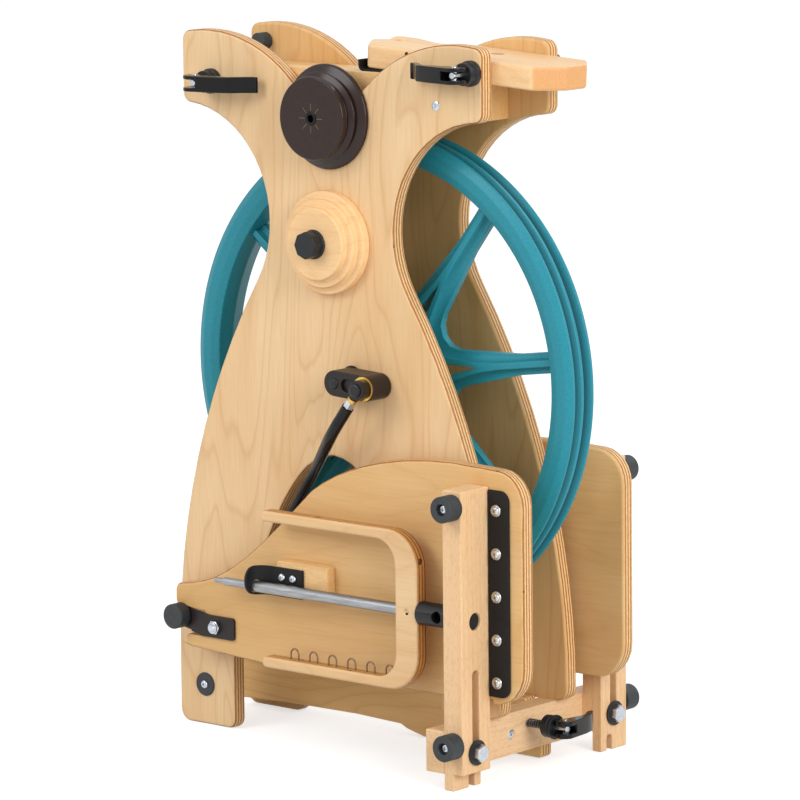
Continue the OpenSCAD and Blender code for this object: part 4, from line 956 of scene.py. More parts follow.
# %% Whorl, peg, stepped disc and knob
# the outer faces of the side panels lie this far from the middle
OUT_Y = 48.6
WHORL_Z, WHORL_T, WHORL_R = 520.6, 22, 42.7
edge = [[5.6, 0.3], [WHORL_R, 0.3], [WHORL_R, 3.2], [WHORL_R - 0.9, 4.2], [WHORL_R - 8.5, 7.6],
        [WHORL_R - 8.5, 8.6], [WHORL_R - 5.9, 10.4], [WHORL_R - 5.9, 11.6],
        [WHORL_R - 11.3, 14.2], [WHORL_R - 11.3, 15.2], [WHORL_R - 9, 17],
        [WHORL_R - 9, 21.2], [WHORL_R - 9.8, WHORL_T], [5.6, WHORL_T]]
at_whorl = facing(spot(0, FRONT * OUT_Y, WHORL_Z), LOOK["front"])
settle("whorl", lathed("whorl", eased(edge, 1.1, 5), at_whorl, 128), brown, "whorl")
peg = [[0, 0.1], [5.45, 0.1], [5.45, WHORL_T + 0.5], [4.9, WHORL_T + 0.6], [3.4, WHORL_T + 0.6],
       [3.1, WHORL_T + 0.2], [3.1, WHORL_T - 5], [0, WHORL_T - 5]]
settle("whorl_peg", lathed("whorl_peg", eased(peg, 0.3, 2), at_whorl, 48), glossy, "whorl_peg")
slit = bmesh.new()
bmesh.ops.create_cube(slit, size=1, matrix=Matrix.Translation(
    Vector((9 * MM, 0, 0))) @ Matrix.Diagonal((5.6 * MM, 0.1 * MM, 0.36 * MM, 1)))
slits = grown("whorl_slits", RING, Piece=loose("slit", meshed("slit", slit)), Count=8,
              Centre=spot(0, FRONT * (OUT_Y + WHORL_T), WHORL_Z), Material=wire)
settle("whorl_slits", slits, wire, "whorl", [], False)

DISC_R, DISC_T = 42, 20
steps = [[3.1, 0.05], [DISC_R, 0.05], [DISC_R, 8], [DISC_R - 6, 8], [DISC_R - 6, 14],
         [DISC_R - 12.5, 14], [DISC_R - 12.5, DISC_T], [3.1, DISC_T]]
at_disc = facing(spot(0, FRONT * OUT_Y, DISC_Z), LOOK["front"])
settle("stepped_disc", lathed("stepped_disc", eased(steps, 1.4, 4), at_disc, 96), disc_maple,
       "stepped_disc")
softened("disc_knob", "disc_knob", 1.0, matt_black, 3,
         lambda p: 1 if p.y < -(OUT_Y + DISC_T + 1) else 0)
print("whorl, slits, disc and knob stand on the front panel")

# %% [markdown]
# The drive wheel's rim is one profile swept round a circle, so a tree makes it: a circle, the
# profile as a curve, and Curve to Mesh. Two rounded grooves hold the cord. The spokes are the
# CAD solid, whose moulded edges only need a small radius.

# %% Drive wheel
WHEEL_R, RIM_DEPTH, GROOVE, RIM_HALF = 199.5, 25, 6.5, 15.8


def rim_tree():
    """A profile swept round a circle and stood upright."""
    tree, keys, given = geometry_tree(
        "swept_rim", ("Profile", "NodeSocketObject"), ("Radius", "NodeSocketFloat"),
        ("Segments", "NodeSocketInt"), ("Centre", "NodeSocketVector"),
        ("Material", "NodeSocketMaterial"))
    circle = add(tree, "GeometryNodeCurvePrimitiveCircle",
                 {"Resolution": given.outputs["Segments"], "Radius": given.outputs["Radius"]})
    profile = add(tree, "GeometryNodeObjectInfo", {"Object": given.outputs["Profile"]})
    swept = add(tree, "GeometryNodeCurveToMesh", {"Curve": circle.outputs["Curve"],
                                                  "Profile Curve": profile.outputs["Geometry"]})
    stood = add(tree, "GeometryNodeTransform",
                {"Geometry": swept.outputs["Mesh"], "Translation": given.outputs["Centre"],
                 "Rotation": (math.pi / 2, 0, 0)})
    closed_tree(tree, stood.outputs["Geometry"], given)
    return tree, keys


half = [[WHEEL_R - 1, 1.4], [WHEEL_R - GROOVE + 1.6, 4.2], [WHEEL_R - GROOVE, 5.4],
        [WHEEL_R - GROOVE, 6.8], [WHEEL_R - GROOVE + 1.6, 8], [WHEEL_R, 10.8],
        [WHEEL_R, RIM_HALF - 3], [WHEEL_R - 6.5, RIM_HALF], [WHEEL_R - 15, RIM_HALF],
        [WHEEL_R - RIM_DEPTH + 2.5, RIM_HALF - 2.3], [WHEEL_R - RIM_DEPTH, 0]]
whole = [[WHEEL_R - 1, 0]] + half + [[r, -h] for r, h in half[-2::-1]] + [[WHEEL_R - 1, 0]]
section = eased(whole, 1.2, 3)[:-1]
line = bpy.data.curves.new("rim_profile", "CURVE")
spline = line.splines.new("POLY")
spline.points.add(len(section) - 1)
for point, (r, h) in zip(spline.points, section):
    point.co = ((r - WHEEL_R) * MM, h * MM, 0, 1)
spline.use_cyclic_u = True
profile = loose("rim_profile", line)
rim = grown("wheel_rim", rim_tree(), Profile=profile, Radius=WHEEL_R * MM, Segments=200,
            Centre=spot(AXLE_X, 0, AXLE_Z), Material=teal)
bpy.data.objects.remove(profile)
shape = bmesh.new()
shape.from_mesh(rim)
bmesh.ops.recalc_face_normals(shape, faces=shape.faces)
shape.to_mesh(rim)
shape.free()
settle("wheel_rim", rim, teal, "wheel_rim")
softened("wheel_spokes", "wheel_spokes", 0.9, teal, 2)
wheel_box = [round(c / MM, 1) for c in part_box("wheel_rim")[1]]
print("rim section has", len(section), "points, its CAD box reaches", wheel_box)

# %% [markdown]
# Screws repeat all over the object. One pan-head screw is turned, and its cross recess is cut
# with a boolean. Cup washers sit under the five screws of each hinge strap. A row tree sets
# them out at the real pitch.

# %% Screws
def crossed(name, diameter, height, matrix):
    """A pan-head screw with a cross recess, standing on its own origin."""
    r = diameter / 2
    head = lathed(name, eased([[0, 0], [r, 0], [r, height * 0.35], [r * 0.72, height * 0.86],
                               [0, height]], height * 0.3, 3), Matrix.Identity(4), 32)
    cutter = bmesh.new()
    for turn in (0, math.pi / 2):
        made = bmesh.ops.create_cube(cutter, size=1, matrix=Matrix.Rotation(turn, 4, "Z")
                                     @ Matrix.Translation((0, 0, height * 0.95))
                                     @ Matrix.Diagonal((diameter * 0.56, diameter * 0.13,
                                                        height * 1.3, 1)))
        low = [v for v in made["verts"] if v.co.z < height * 0.9]
        for v in low:
            v.co.x *= 0.45
            v.co.y *= 0.45
    tool, piece = loose("cutter", meshed("cutter", cutter)), loose(name, head)
    cut = piece.modifiers.new("recess", "BOOLEAN")
    cut.object, cut.operation, cut.solver, cut.use_self = tool, "DIFFERENCE", "EXACT", True
    result = evaluated(piece, name)
    bpy.data.objects.remove(tool)
    result.transform(matrix)
    return result


TREADLE_Y, LEATHER, REST_FRONT = 70.8, 2.4, 83.0
STRAP_SCREW_X, STRAP_SCREW_Z, STRAP_PITCH = 190.2, 84.6, 34.6
for side, way in (("front", FRONT), ("back", BACK)):
    seat = spot(STRAP_SCREW_X, way * (TREADLE_Y + LEATHER), STRAP_SCREW_Z)
    node = f"{side}_treadle_screws"
    cup = lathed("cup", eased([[0, 0], [4.9, 0], [4.9, 0.5], [4.2, 1.3], [3.5, 1.3], [3.3, 0.7],
                               [0, 0.7]], 0.35, 3), facing(seat, LOOK[side]), 40)
    screw = crossed("screw", 7, 2.2, facing(seat, LOOK[side], 0.5)
                    @ Matrix.Translation((0, 0, 0.6)))
    settle(f"strap_cups.{side}", row("cups", cup, 5, (0, 0, STRAP_PITCH), nickel), nickel, node,
           [node])
    settle(f"strap_screws.{side}", row("screws", screw, 5, (0, 0, STRAP_PITCH), zinc), zinc,
           node, [])
    at_toe = facing(spot(TOE.x, way * TREADLE_Y, TOE.y), LOOK[side])
    thread = [[2.6 + 0.35 * (i % 2), 2.6 + 0.45 * i] for i in range(15)]
    bolt = lathed("bolt", [[0, -13], [3, -13], [3, 2.5]] + thread + [[0, 9.2]], at_toe, 24)
    settle(f"toe_bolt.{side}", bolt, zinc, node, [])
    nut = lathed("nut", eased([[3.1, 2.6], [5.9, 2.6], [6.1, 3], [6.1, 5.6], [5.4, 6],
                               [3.1, 6]], 0.25, 2), at_toe, 6)
    collar = lathed("collar", eased([[3.1, 5.9], [4.9, 5.9], [4.7, 7.2], [3.1, 7.6]], 0.3, 2),
                    at_toe, 32)
    settle(f"toe_collar.{side}", collar, zinc, node, [])
    settle(f"toe_nut.{side}", nut, zinc, node, [])
rest_screw = crossed("rest_screw", 7, 2.4, facing(spot(-27, FRONT * REST_FRONT, 145),
                                                  LOOK["front"]))
settle("rest_screws", row("rest_screws", rest_screw, 2, (12, 0, 0), zinc), zinc,
       "front_treadle_screws", [])

for side, way in (("front", FRONT), ("back", BACK)):
    washer = lathed("washer", eased([[0, 0], [10, 0], [10, 1], [9.2, 1.6], [5, 1.2], [0, 1.2]],
                                    0.4, 3),
                    facing(spot(-145, way * OUT_Y, 34.4), LOOK[side]), 48)
    settle(f"leg_washer.{side}", washer, rubber, "frame_screws", [])
    leg = crossed("leg_screw", 7, 2.2, facing(spot(-145, way * (OUT_Y + 1.2), 34.4),
                                              LOOK[side]))
    settle(f"leg_screw.{side}", leg, zinc, "frame_screws", [])
    horn = crossed("horn_screw", 8, 1.2, facing(spot(112.4, way * OUT_Y, 535.4), LOOK[side]))
    settle(f"horn_screw.{side}", horn, zinc, "frame_screws", [])
end_screw = crossed("end_screw", 8, 1.2, facing(spot(160.7, -21, 29.5), (1, 0, 0), 0.6))
settle("crossbar_screws", row("end_screws", end_screw, 2, (0, 42, 0), zinc), zinc,
       "frame_screws")
print("screws: 10 in the straps, 2 in the rest, 6 in the frame")

# %% [markdown]
# Rubber bumpers keep the bars off the floor when they are down. Each is a short cylinder with a
# deep hole, and its screw shines at the bottom. A lathe turns one, and the row tree sets out the
# pair along a bar.

# %% Bumpers
def bumper(name, matrix):
    """A bar's bumper: a rubber cylinder with a hole for its screw."""
    return lathed(name, eased([[0, 0], [10.5, 0], [10.5, 14.4], [9.9, 15], [5.2, 15], [4.6, 14.4],
                               [4.6, 10.2], [0, 10.2]], 0.9, 4), matrix, 56)


BAR_OUT, BUMPER_X, BUMPER_Z, BUMPER_PITCH = 105.7, 172.8, 37.5, 191
for side, way in (("front", FRONT), ("back", BACK)):
    foot = facing(spot(BUMPER_X, way * BAR_OUT, BUMPER_Z), LOOK[side])
    node = f"{side}_bar_bumpers"
    settle(f"bar_bumpers.{side}",
           row("bumpers", bumper("bumper", foot), 2, (0, 0, BUMPER_PITCH), rubber), rubber, node)
    fixing = crossed("bumper_screw", 8.4, 2.2, foot @ Matrix.Translation((0, 0, 10.1)))
    settle(f"bumper_screws.{side}",
           row("bumper_screws", fixing, 2, (0, 0, BUMPER_PITCH), zinc), zinc, node, [])
    toe_foot = facing(spot(-150, way * 71.0, 97), LOOK[side])
    toe = lathed("toe", eased([[0, 0], [10.5, 0], [10.5, 11.4], [9.7, 12.2], [0, 12.2]], 0.9, 4),
                 toe_foot, 56)
    settle(f"toe_bumper.{side}", toe, rubber, f"{side}_toe_bumper")
settle("horn_bumper", lathed("horn_bumper", eased([[0, 0], [7.15, 0], [7.15, 11.5], [0, 11.5]],
                                                  0.9, 4),
                             facing(spot(-141.2, 35.6, 568.6), (0, -1, 0)), 48), rubber,
       "horn_bumper")
print("bumpers: 4 on the bars, 2 on the toes, 1 in the horn")

# %% [markdown]
# The hinge straps are cut from black leather, whose worn edge a small bevel gives. The rod ends
# and the toe brackets are black steel. A toe bracket is a strip with a joggle in it and a round
# end, so it is where two plates meet: one is the strip from above, one its outline from the
# front.

# %% Hinge straps and toe brackets
NOTCH_X, LEFT, RIGHT = -138, -159.8, -90
MIRRORED = Matrix.Diagonal((1, -1, 1, 1)) @ PLAN
for side, way in (("front", FRONT), ("back", BACK)):
    softened(f"{side}_hinge_strap", f"hinge_strap.{side}", 0.5, leather, 2)
    softened(f"{side}_rod_end", f"rod_end.{side}", 0.5, coated, 2)
    low, top = TREADLE_Y - 2.3, TREADLE_Y + 0.05
    stepped = [(RIGHT, top), (NOTCH_X - 0.4, top), (NOTCH_X - 2.2, low), (LEFT, low),
               (LEFT, low + 2.3), (NOTCH_X - 1.2, low + 2.3), (NOTCH_X + 0.6, top + 2.3),
               (RIGHT, top + 2.3)]
    strip = plate("strip", stepped, 80, 110, PLAN if way > 0 else MIRRORED)
    outline = (arc(RIGHT - 2.5, 84.7, 2.5, -90, 0, 5) + arc(RIGHT - 2.5, 98.3, 2.5, 0, 90, 5)
               + [(-118, 100.8)] + arc(-150.2, 97, 9.6, 68, 248, 20) + [(-124, 82.2)])
    bracket = joined("bracket", strip, plate("outline", outline, -80, 80, UPRIGHT), "INTERSECT")
    settle(f"toe_bracket.{side}", rounded_off("bracket", bracket, 0.15, 1), coated,
           f"{side}_toe_bracket")
print("each bracket is", round(RIGHT - LEFT, 1), "mm long")

# %% [markdown]
# The leather tab that holds the flyer's shaft is one strip: a leg on the rest, a bend round the
# shaft's end, and an upright flap with rounded corners. The holder's pad is a strip too, turned
# up at its end. The flyer's hub and the wheel's axle are right in CAD and only get softer edges.

# %% Shaft tab and holder pad
TAB_LOW, TAB_TOP = 128, 154
bend_y, bend_r, flap_end = 95.02, 12, 99.04
ribbon = ([(-5, 80.85), (-40, 80.85)] + arc(-40, bend_y, bend_r + 2.2, 265, 185, 14)
          + [(-54.2, bend_y), (-54.2, flap_end), (-52, flap_end), (-52, bend_y)]
          + arc(-40, bend_y, bend_r, 185, 265, 14) + [(-40, 83.02), (-5, 83.02)])
tab = plate("tab", ribbon, TAB_LOW, TAB_TOP, MIRRORED)
rounded = ([(78, TAB_LOW + 1), (flap_end - 11, TAB_LOW + 1)]
           + arc(flap_end - 11, 140, 11, -80, 0, 7) + arc(flap_end - 11, 142, 11, 0, 80, 7)
           + [(flap_end - 11, TAB_TOP - 1), (78, TAB_TOP - 1)])
side_on = standing(spot(0, 0, 0), (0, -1, 0), (0, 0, 1))
tab = joined("tab", tab, plate("outline", rounded, -10, 90, side_on), "INTERSECT")
eyelet = plate("eyelet", arc(PIVOT_Y, FLYER_Z, 5.3, 0, 350, 35), 40, 90, side_on)
tab = joined("tab", tab, eyelet)
settle("shaft_tab", rounded_off("shaft_tab", tab, 0.2, 1), leather, "rest_leather")
pad_z, pad_mid = 557.32, 28.6
turned_up = ([(46, pad_z), (46, pad_z + 1.7)] + arc(24.4, pad_z + 4.6, 2.9, 270, 190, 5)
             + [(21.4, pad_z + 9.4), (19.6, pad_z + 9.2)]
             + arc(24.4, pad_z + 4.6, 4.6, 190, 270, 7)[1:])
pad = plate("pad", turned_up, pad_mid - 6, pad_mid + 6, UPRIGHT)
settle("holder_pad", rounded_off("pad", pad, 0.3, 2), leather, "holder_pad")
softened("flyer_hub", "flyer_hub", 0.5, matt_black, 3)
softened("axle", "axle", 0.4, ground, 2)
print("the tab is cut from a strip", TAB_TOP - TAB_LOW, "mm wide")

# %% [markdown]
# A bearing is a black disc with a bore, flush in its panel. The panel's own plywood shows round
# it, so that ring takes the panel's wood, and a thin flange holds the bearing from the inside.

# %% Axle bearings
for side, way in (("front", FRONT), ("back", BACK)):
    at_axle = facing(spot(AXLE_X, 0, AXLE_Z), LOOK[side])
    bearing = lathed("bearing", eased([[6.4, 35.2], [11.7, 35.2], [11.7, 49], [6.4, 49]], 0.3, 2),
                     at_axle, 56)
    settle(f"bearing.{side}", bearing, coated, "axle_bearings",
           ["axle_bearings"] if way < 0 else [])
    seat = lathed("seat", [[11.65, 35.6], [14.02, 35.6], [14.02, 48.6], [11.65, 48.6]],
                  at_axle, 56)
    settle(f"bearing_seat.{side}", seat, panel_ply if way < 0 else far_panel_bounce_ply,
           "axle_bearings", [])
    flange = lathed("flange", eased([[11.6, 34.6], [16, 34.6], [16, 35.55], [11.6, 35.55]],
                                    0.2, 2), at_axle, 56)
    settle(f"bearing_flange.{side}", flange, coated, "axle_bearings", [])
print("a bearing sits in each panel, at", AXLE_X, AXLE_Z)

# %% [markdown]
# A crank is a black bar with round ends and a slot in its face, held on the axle by a domed
# screw. A brass ring keeps the rod end off the crank, and a black cap holds it on its pin. The
# two cranks point opposite ways, so one function gives the place of either pin.

# %% Cranks, pins and lock nuts
CRANK_IN, CRANK_OUT, RECESS, THROW, CRANK_TILT = 49.15, 71.7, 3, 31.5, math.radians(-3)
RING_T, PLAY, ROD_END_T = 1.4, 0.24, 8.4
ROD_END_OUT = CRANK_OUT + RING_T + PLAY + ROD_END_T


def pin_place(sense):
    """x and z of a crank pin. The front crank points one way (1), the back one the other (-1)."""
    return (AXLE_X + sense * THROW * math.cos(CRANK_TILT),
            AXLE_Z + sense * THROW * math.sin(CRANK_TILT))


for side, way, sense in (("front", FRONT, 1), ("back", BACK, -1)):
    px, pz = pin_place(sense)
    along = Vector((px - AXLE_X, 0, pz - AXLE_Z)).normalized()
    drawn = (Matrix.Translation(spot(AXLE_X, 0, AXLE_Z))
             @ Matrix((along, Vector((-along.z, 0, along.x)),
                       (0, way, 0))).transposed().to_4x4() @ Matrix.Scale(MM, 4))
    body = plate("crank", arc(0, 0, 10.5, 90, 270, 24) + arc(THROW, 0, 10.5, -90, 90, 24),
                 CRANK_IN, CRANK_OUT, drawn)
    slot = plate("slot", arc(12.7, 0, 5.2, 90, 270, 12) + arc(THROW, 0, 5.2, -90, 90, 12),
                 CRANK_OUT - RECESS, CRANK_OUT + 5, drawn)
    body = rounded_off("crank", joined("crank", body, slot), 0.8, 3)
    settle(f"crank.{side}", body, coated, f"{side}_crank")
    dome = lathed("dome", eased([[0, CRANK_OUT - 1], [4.6, CRANK_OUT - 1],
                                 [4.6, CRANK_OUT + 0.5], [3.4, CRANK_OUT + 1.6],
                                 [0, CRANK_OUT + 1.9]], 0.6, 3),
                  facing(spot(AXLE_X, 0, AXLE_Z), LOOK[side]), 40)
    settle(f"crank_screw.{side}", dome, matt_black, "crank_screws",
           ["crank_screws"] if way < 0 else [])
    at_pin = facing(spot(px, 0, pz), LOOK[side])
    ring = lathed("ring", eased([[4.1, CRANK_OUT + 0.02], [10, CRANK_OUT + 0.02],
                                 [10, CRANK_OUT + RING_T], [4.1, CRANK_OUT + RING_T]],
                                0.3, 3), at_pin, 48)
    settle(f"pin_ring.{side}", ring, brass, "crank_pins", [])
    cap = lathed("cap", eased([[0, CRANK_OUT - 8.9], [4, CRANK_OUT - 8.9],
                               [4, ROD_END_OUT + 0.3], [5.5, ROD_END_OUT + 0.3],
                               [5.5, ROD_END_OUT + 1.3], [4, ROD_END_OUT + 2.1],
                               [0, ROD_END_OUT + 2.1]], 0.4, 3), at_pin, 40)
    settle(f"pin_cap.{side}", cap, matt_black, "crank_pins", ["crank_pins"] if way < 0 else [])
    softened(f"{side}_rod_nut", f"rod_nut.{side}", 0.3, zinc, 2)
print("crank pins at", [[round(c, 1) for c in pin_place(sense)] for sense in (1, -1)])

# %% [markdown]
# A footman is a moulded rod: straight under its stud, then a lean inwards to the narrow space
# between the panel and the treadle. It is a wire whose bends are eased, and it is a little
# stouter where it has room. Its lower end is an eye on the toe bolt.

# %% Footmen
def bent_wire(name, points, radius, sides=4, shares=None):
    """A round wire along a line of points, as a mesh. shares scales its radius at each."""
    line = bpy.data.curves.new(name, "CURVE")
    line.dimensions = "3D"
    line.bevel_depth, line.bevel_resolution, line.use_fill_caps = radius * MM, sides, True
    spline = line.splines.new("POLY")
    spline.points.add(len(points) - 1)
    for i, (point, place) in enumerate(zip(spline.points, points)):
        point.co = (*place, 1)
        point.radius = shares[i] if shares else 1
    return evaluated(loose(name, line), name)


EYE_R, EYE_T = 8, 6.8
ROD_Y, LOW_Y = ROD_END_OUT - ROD_END_T / 2, OUT_Y + 4.6
for side, way, sense in (("front", FRONT, 1), ("back", BACK, -1)):
    start = Vector(pin_place(sense))
    if side == "front":
        along = (TOE - start).normalized()
        knees = [start + 47 * along, start + 104 * along + 9 * Vector((along.y, -along.x))]
    else:
        along = Vector((-0.75, -0.66)).normalized()
        knees = [start + 47 * along, start + 80 * along]
    last = TOE + 5 * (knees[1] - TOE).normalized()
    corners = [(*(start + 19 * along), ROD_Y), (*knees[0], ROD_Y), (*knees[1], LOW_Y),
               (*last, LOW_Y)]
    path = eased([(x, way * y, z) for x, z, y in corners], 13, 8)
    shares = [1 + 0.22 * fade(abs(p.y) - LOW_Y, 2, 12) for p in path]
    rod = bent_wire("footman", [spot(*p) for p in path], 4.1, 8, shares)
    settle(f"footman.{side}", rod, glossy, f"{side}_footman", angle=50)
    stud = Vector((along.x, 0, along.y))
    sleeve = lathed("sleeve", eased([[3.9, 9.2], [4.3, 9.2], [4.3, 12.1], [3.9, 12.1]], 0.1, 2),
                    facing(spot(start.x, way * ROD_Y, start.y), stud), 32)
    settle(f"stud_sleeve.{side}", sleeve, brass, f"{side}_rod_nut", [])
    eye = lathed("eye", eased([[3.3, LOW_Y - EYE_T / 2], [EYE_R, LOW_Y - EYE_T / 2],
                               [EYE_R, LOW_Y + EYE_T / 2], [3.3, LOW_Y + EYE_T / 2]], 0.5, 3),
                 facing(spot(TOE.x, 0, TOE.y), LOOK[side]), 48)
    settle(f"footman_eye.{side}", eye, glossy, f"{side}_footman", [])
print("footmen run from", [round(c) for c in start], "to", [round(c) for c in TOE])

# %% [markdown]
# The pivot bolts show a zinc-plated hexagon on a black plastic washer at each bar. A lathe with
# six sides turns a bolt's head, with the chamfer that every forged head has, and the nut on the
# crossbar's inner face.

# %% Pivot bolts
BAR_END, PIVOT_Z, CROSSBAR_X, FLATS = 181.0, 30.2, 143, 12.7
for side, way in (("front", FRONT), ("back", BACK)):
    node = f"{side}_pivot_bolt"
    at_bolt = facing(spot(0, way * PIVOT_Y, PIVOT_Z), (1, 0, 0), 0.35)
    washer = lathed("washer", eased([[4.1, BAR_END + 0.3], [10.2, BAR_END + 0.3],
                                     [10.2, BAR_END + 1.9], [4.1, BAR_END + 1.9]], 0.4, 3),
                    at_bolt, 48)
    settle(f"pivot_washer.{side}", washer, matt_black, node, [])
    radius = FLATS / 2 / math.cos(math.pi / 6)
    top = BAR_END + 7.9
    nut = lathed("head", eased([[0, CROSSBAR_X - 6.3], [radius - 0.7, CROSSBAR_X - 6.3],
                                [radius, CROSSBAR_X - 5.4], [radius, CROSSBAR_X - 0.3],
                                [0, CROSSBAR_X - 0.3]], 0.2, 2), at_bolt, 6)
    settle(f"pivot_nut.{side}", nut, zinc, node, [])
    head = lathed("head", eased([[0, BAR_END + 1.9], [radius, BAR_END + 1.9],
                                 [radius, top - 1.1], [radius - 0.9, top - 0.1], [0, top]],
                                0.3, 3), at_bolt, 6)
    settle(f"pivot_head.{side}", head, zinc, node)
    shank = lathed("shank", [[0, CROSSBAR_X - 5], [4, CROSSBAR_X - 5], [4, BAR_END + 2.4],
                             [0, BAR_END + 2.4]], at_bolt, 40)
    settle(f"pivot_shank.{side}", shank, zinc, node, [])
print("pivot bolts at y", PIVOT_Y)

# %% [markdown]
# The flyer's shaft is ground steel that steps down to its tip, and six wire hooks guide the
# yarn. One hook is a bent wire, and a row tree repeats it at the real pitch.

# %% Flyer shaft and hooks
FLYER_LEFT, FLYER_RIGHT = -40, 126
SHAFT_LEFT = FLYER_LEFT - 18
at_shaft = facing(spot(0, -PIVOT_Y, FLYER_Z), (1, 0, 0))
shaft = [[0, SHAFT_LEFT - 37], [2.2, SHAFT_LEFT - 37], [2.2, SHAFT_LEFT - 27],
         [3.4, SHAFT_LEFT - 27], [3.4, SHAFT_LEFT], [4.75, SHAFT_LEFT], [4.75, FLYER_RIGHT],
         [0, FLYER_RIGHT]]
settle("flyer_shaft", lathed("flyer_shaft", eased(shaft, 0.4, 2), at_shaft, 48), ground,
       "flyer_shaft")

HOOK_R, HOOK_LEG, HOOK_LOW, HOOK_PITCH = 4.2, 4.6, 80, 20.3
HOOK_X = FLYER_LEFT + 30.7
bend = [spot(HOOK_X - HOOK_R * math.cos(a), -PIVOT_Y,
             HOOK_LOW + HOOK_LEG + HOOK_R * math.sin(a))
        for a in (math.pi * i / 16 for i in range(17))]
legs = [spot(HOOK_X + s * HOOK_R, -PIVOT_Y, HOOK_LOW - 1.5) for s in (-1, 1)]
hook = bent_wire("hook", [legs[0], *bend, legs[1]], 0.72)
settle("flyer_hooks", row("hooks", hook, 6, (HOOK_PITCH, 0, 0), wire), wire, "flyer_hooks")
print("six hooks at a pitch of", HOOK_PITCH, "mm")

# %% [markdown]
# Cam levers pull the holder and the horns together. The lever is black nylon, and its pin and
# stem are bright steel that flashes in the fork. The bolt is one turned stack: nut, washers and
# barrel.

# %% Cam levers
PIN_H, HEAD_R, CAM_T = 21.4, 9.5, 13
LEVER = [[0, 30.9], [20, 27.5], [37.5, 23], [48.5, 12], [55.5, 9], [56.5, 6.5], [50, 6],
         [45, 9], [34, 19], [10, 16.5]]


def cam_outline(handle, height, radius):
    """A cam lever from the side: the head's arc about the pin, then the bent handle."""
    bent = [tuple(p) for p in eased(handle[1:], 3, 3)]
    return arc(0, height, radius, 275, 90, 20) + bent


for place, (x, z) in CAM_BOLTS.items():
    node = f"{place}_cam_bolt"
    at_cam = facing(spot(x, FRONT * OUT_Y, z), LOOK["front"])
    back_face = -2 * OUT_Y
    stack = [[0, back_face - 7], [8.5, back_face - 7], [8.5, back_face - 5],
             [7.2, back_face - 5], [7.2, back_face - 0.05], [3.98, back_face - 0.05],
             [3.98, 0.05], [10.3, 0.05], [10.3, 4.5], [9, 4.9],
             [9, PIN_H - HEAD_R - 0.3], [0, PIN_H - HEAD_R - 0.3]]
    settle(node, lathed(node, eased(stack, 0.5, 3), at_cam, 48), matt_black, node)
    stem = lathed("stem", eased([[0, 8], [3.1, 8], [3.1, PIN_H + 2.6], [2.6, PIN_H + 3],
                                 [0, PIN_H + 3]], 0.3, 2), at_cam, 32)
    settle(f"cam_stem.{place}", stem, zinc, node, [])
    across = facing(at_cam @ Vector((0, 0, PIN_H)), (0, 0, 1))
    pin = lathed("pin", eased([[0, -CAM_T / 2 - 0.6], [2.5, -CAM_T / 2 - 0.6],
                               [2.5, CAM_T / 2 + 0.6], [0, CAM_T / 2 + 0.6]], 0.3, 2), across, 32)
    settle(f"cam_pin.{place}", pin, zinc, node, [])
    sense = 1 if place == "left" else -1
    handle = plate("handle", cam_outline(LEVER, PIN_H, HEAD_R), -CAM_T / 2, CAM_T / 2,
                   standing(spot(x, FRONT * OUT_Y, z), (sense, 0, 0), (0, FRONT, 0)))
    fork = sorted((x - sense * 19, x + sense * 7.6))
    handle = joined("handle", handle, block((fork[0], -OUT_Y - 44, z - 3.4),
                                            (fork[1], -OUT_Y, z + 3.4)))
    settle(f"cam_lever.{place}", rounded_off("handle", handle, 0.7, 3), glossy,
           f"{place}_cam_lever")
print("two cam levers, with heads of", 2 * HEAD_R, "mm")

# %% [markdown]
# The clamp on the crossbar's end works the same way, with a barrel, a rod and a smaller lever
# that lies flat.

# %% Clamp
CLAMP_X, CLAMP_Z = 162, 35.8
softened("clamp_rod", "clamp_rod", 0.2, zinc, 2)
low, high = (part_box("clamp_barrel")[i][0] / MM + AXLE_X - CLAMP_X for i in (0, 1))
barrel = [[2.6, low], [9.2, low], [9.2, high - 4.6], [8.2, high - 4], [8.2, high - 3],
          [10, high - 2.4], [10, high], [2.6, high]]
settle("clamp_barrel", lathed("clamp_barrel", eased(barrel, 0.6, 3),
                              facing(spot(CLAMP_X, 0, CLAMP_Z), (1, 0, 0)), 48),
       matt_black, "clamp_barrel")
CLAMP = [[0, 46], [22, 44], [33, 40.5], [38, 36.5], [41, 35], [42, 32.8], [38, 31.6],
         [33.5, 33.2], [27, 37.4], [5, 34.5]]
handle = plate("handle", cam_outline(CLAMP, 38, 8), -7, 7,
               standing(spot(CLAMP_X, 0, CLAMP_Z), (0, 1, 0), (1, 0, 0)))
handle = joined("handle", handle, block((190, -16, 32.7), (215, 6.4, 38.9)))
settle("clamp_lever", rounded_off("handle", handle, 0.7, 3), glossy, "clamp_lever")
print("the clamp's barrel is", round(high - low, 1), "mm long")

# %% [markdown]
# The clamp's spring is a wire along a helix. A tree makes it from its turns, radius and length.

# %% Clamp spring
def spring_tree():
    """A round wire along a helix."""
    tree, keys, given = geometry_tree(
        "coil_spring", ("Turns", "NodeSocketFloat"), ("Radius", "NodeSocketFloat"),
        ("Length", "NodeSocketFloat"), ("Wire", "NodeSocketFloat"),
        ("Material", "NodeSocketMaterial"))
    helix = add(tree, "GeometryNodeCurveSpiral",
                {"Resolution": 28, "Rotations": given.outputs["Turns"],
                 "Start Radius": given.outputs["Radius"], "End Radius": given.outputs["Radius"],
                 "Height": given.outputs["Length"]})
    section = add(tree, "GeometryNodeCurvePrimitiveCircle",
                  {"Resolution": 10, "Radius": given.outputs["Wire"]})
    tube = add(tree, "GeometryNodeCurveToMesh",
               {"Curve": helix.outputs["Curve"], "Profile Curve": section.outputs["Curve"],
                "Fill Caps": True})
    closed_tree(tree, tube.outputs["Mesh"], given)
    return tree, keys


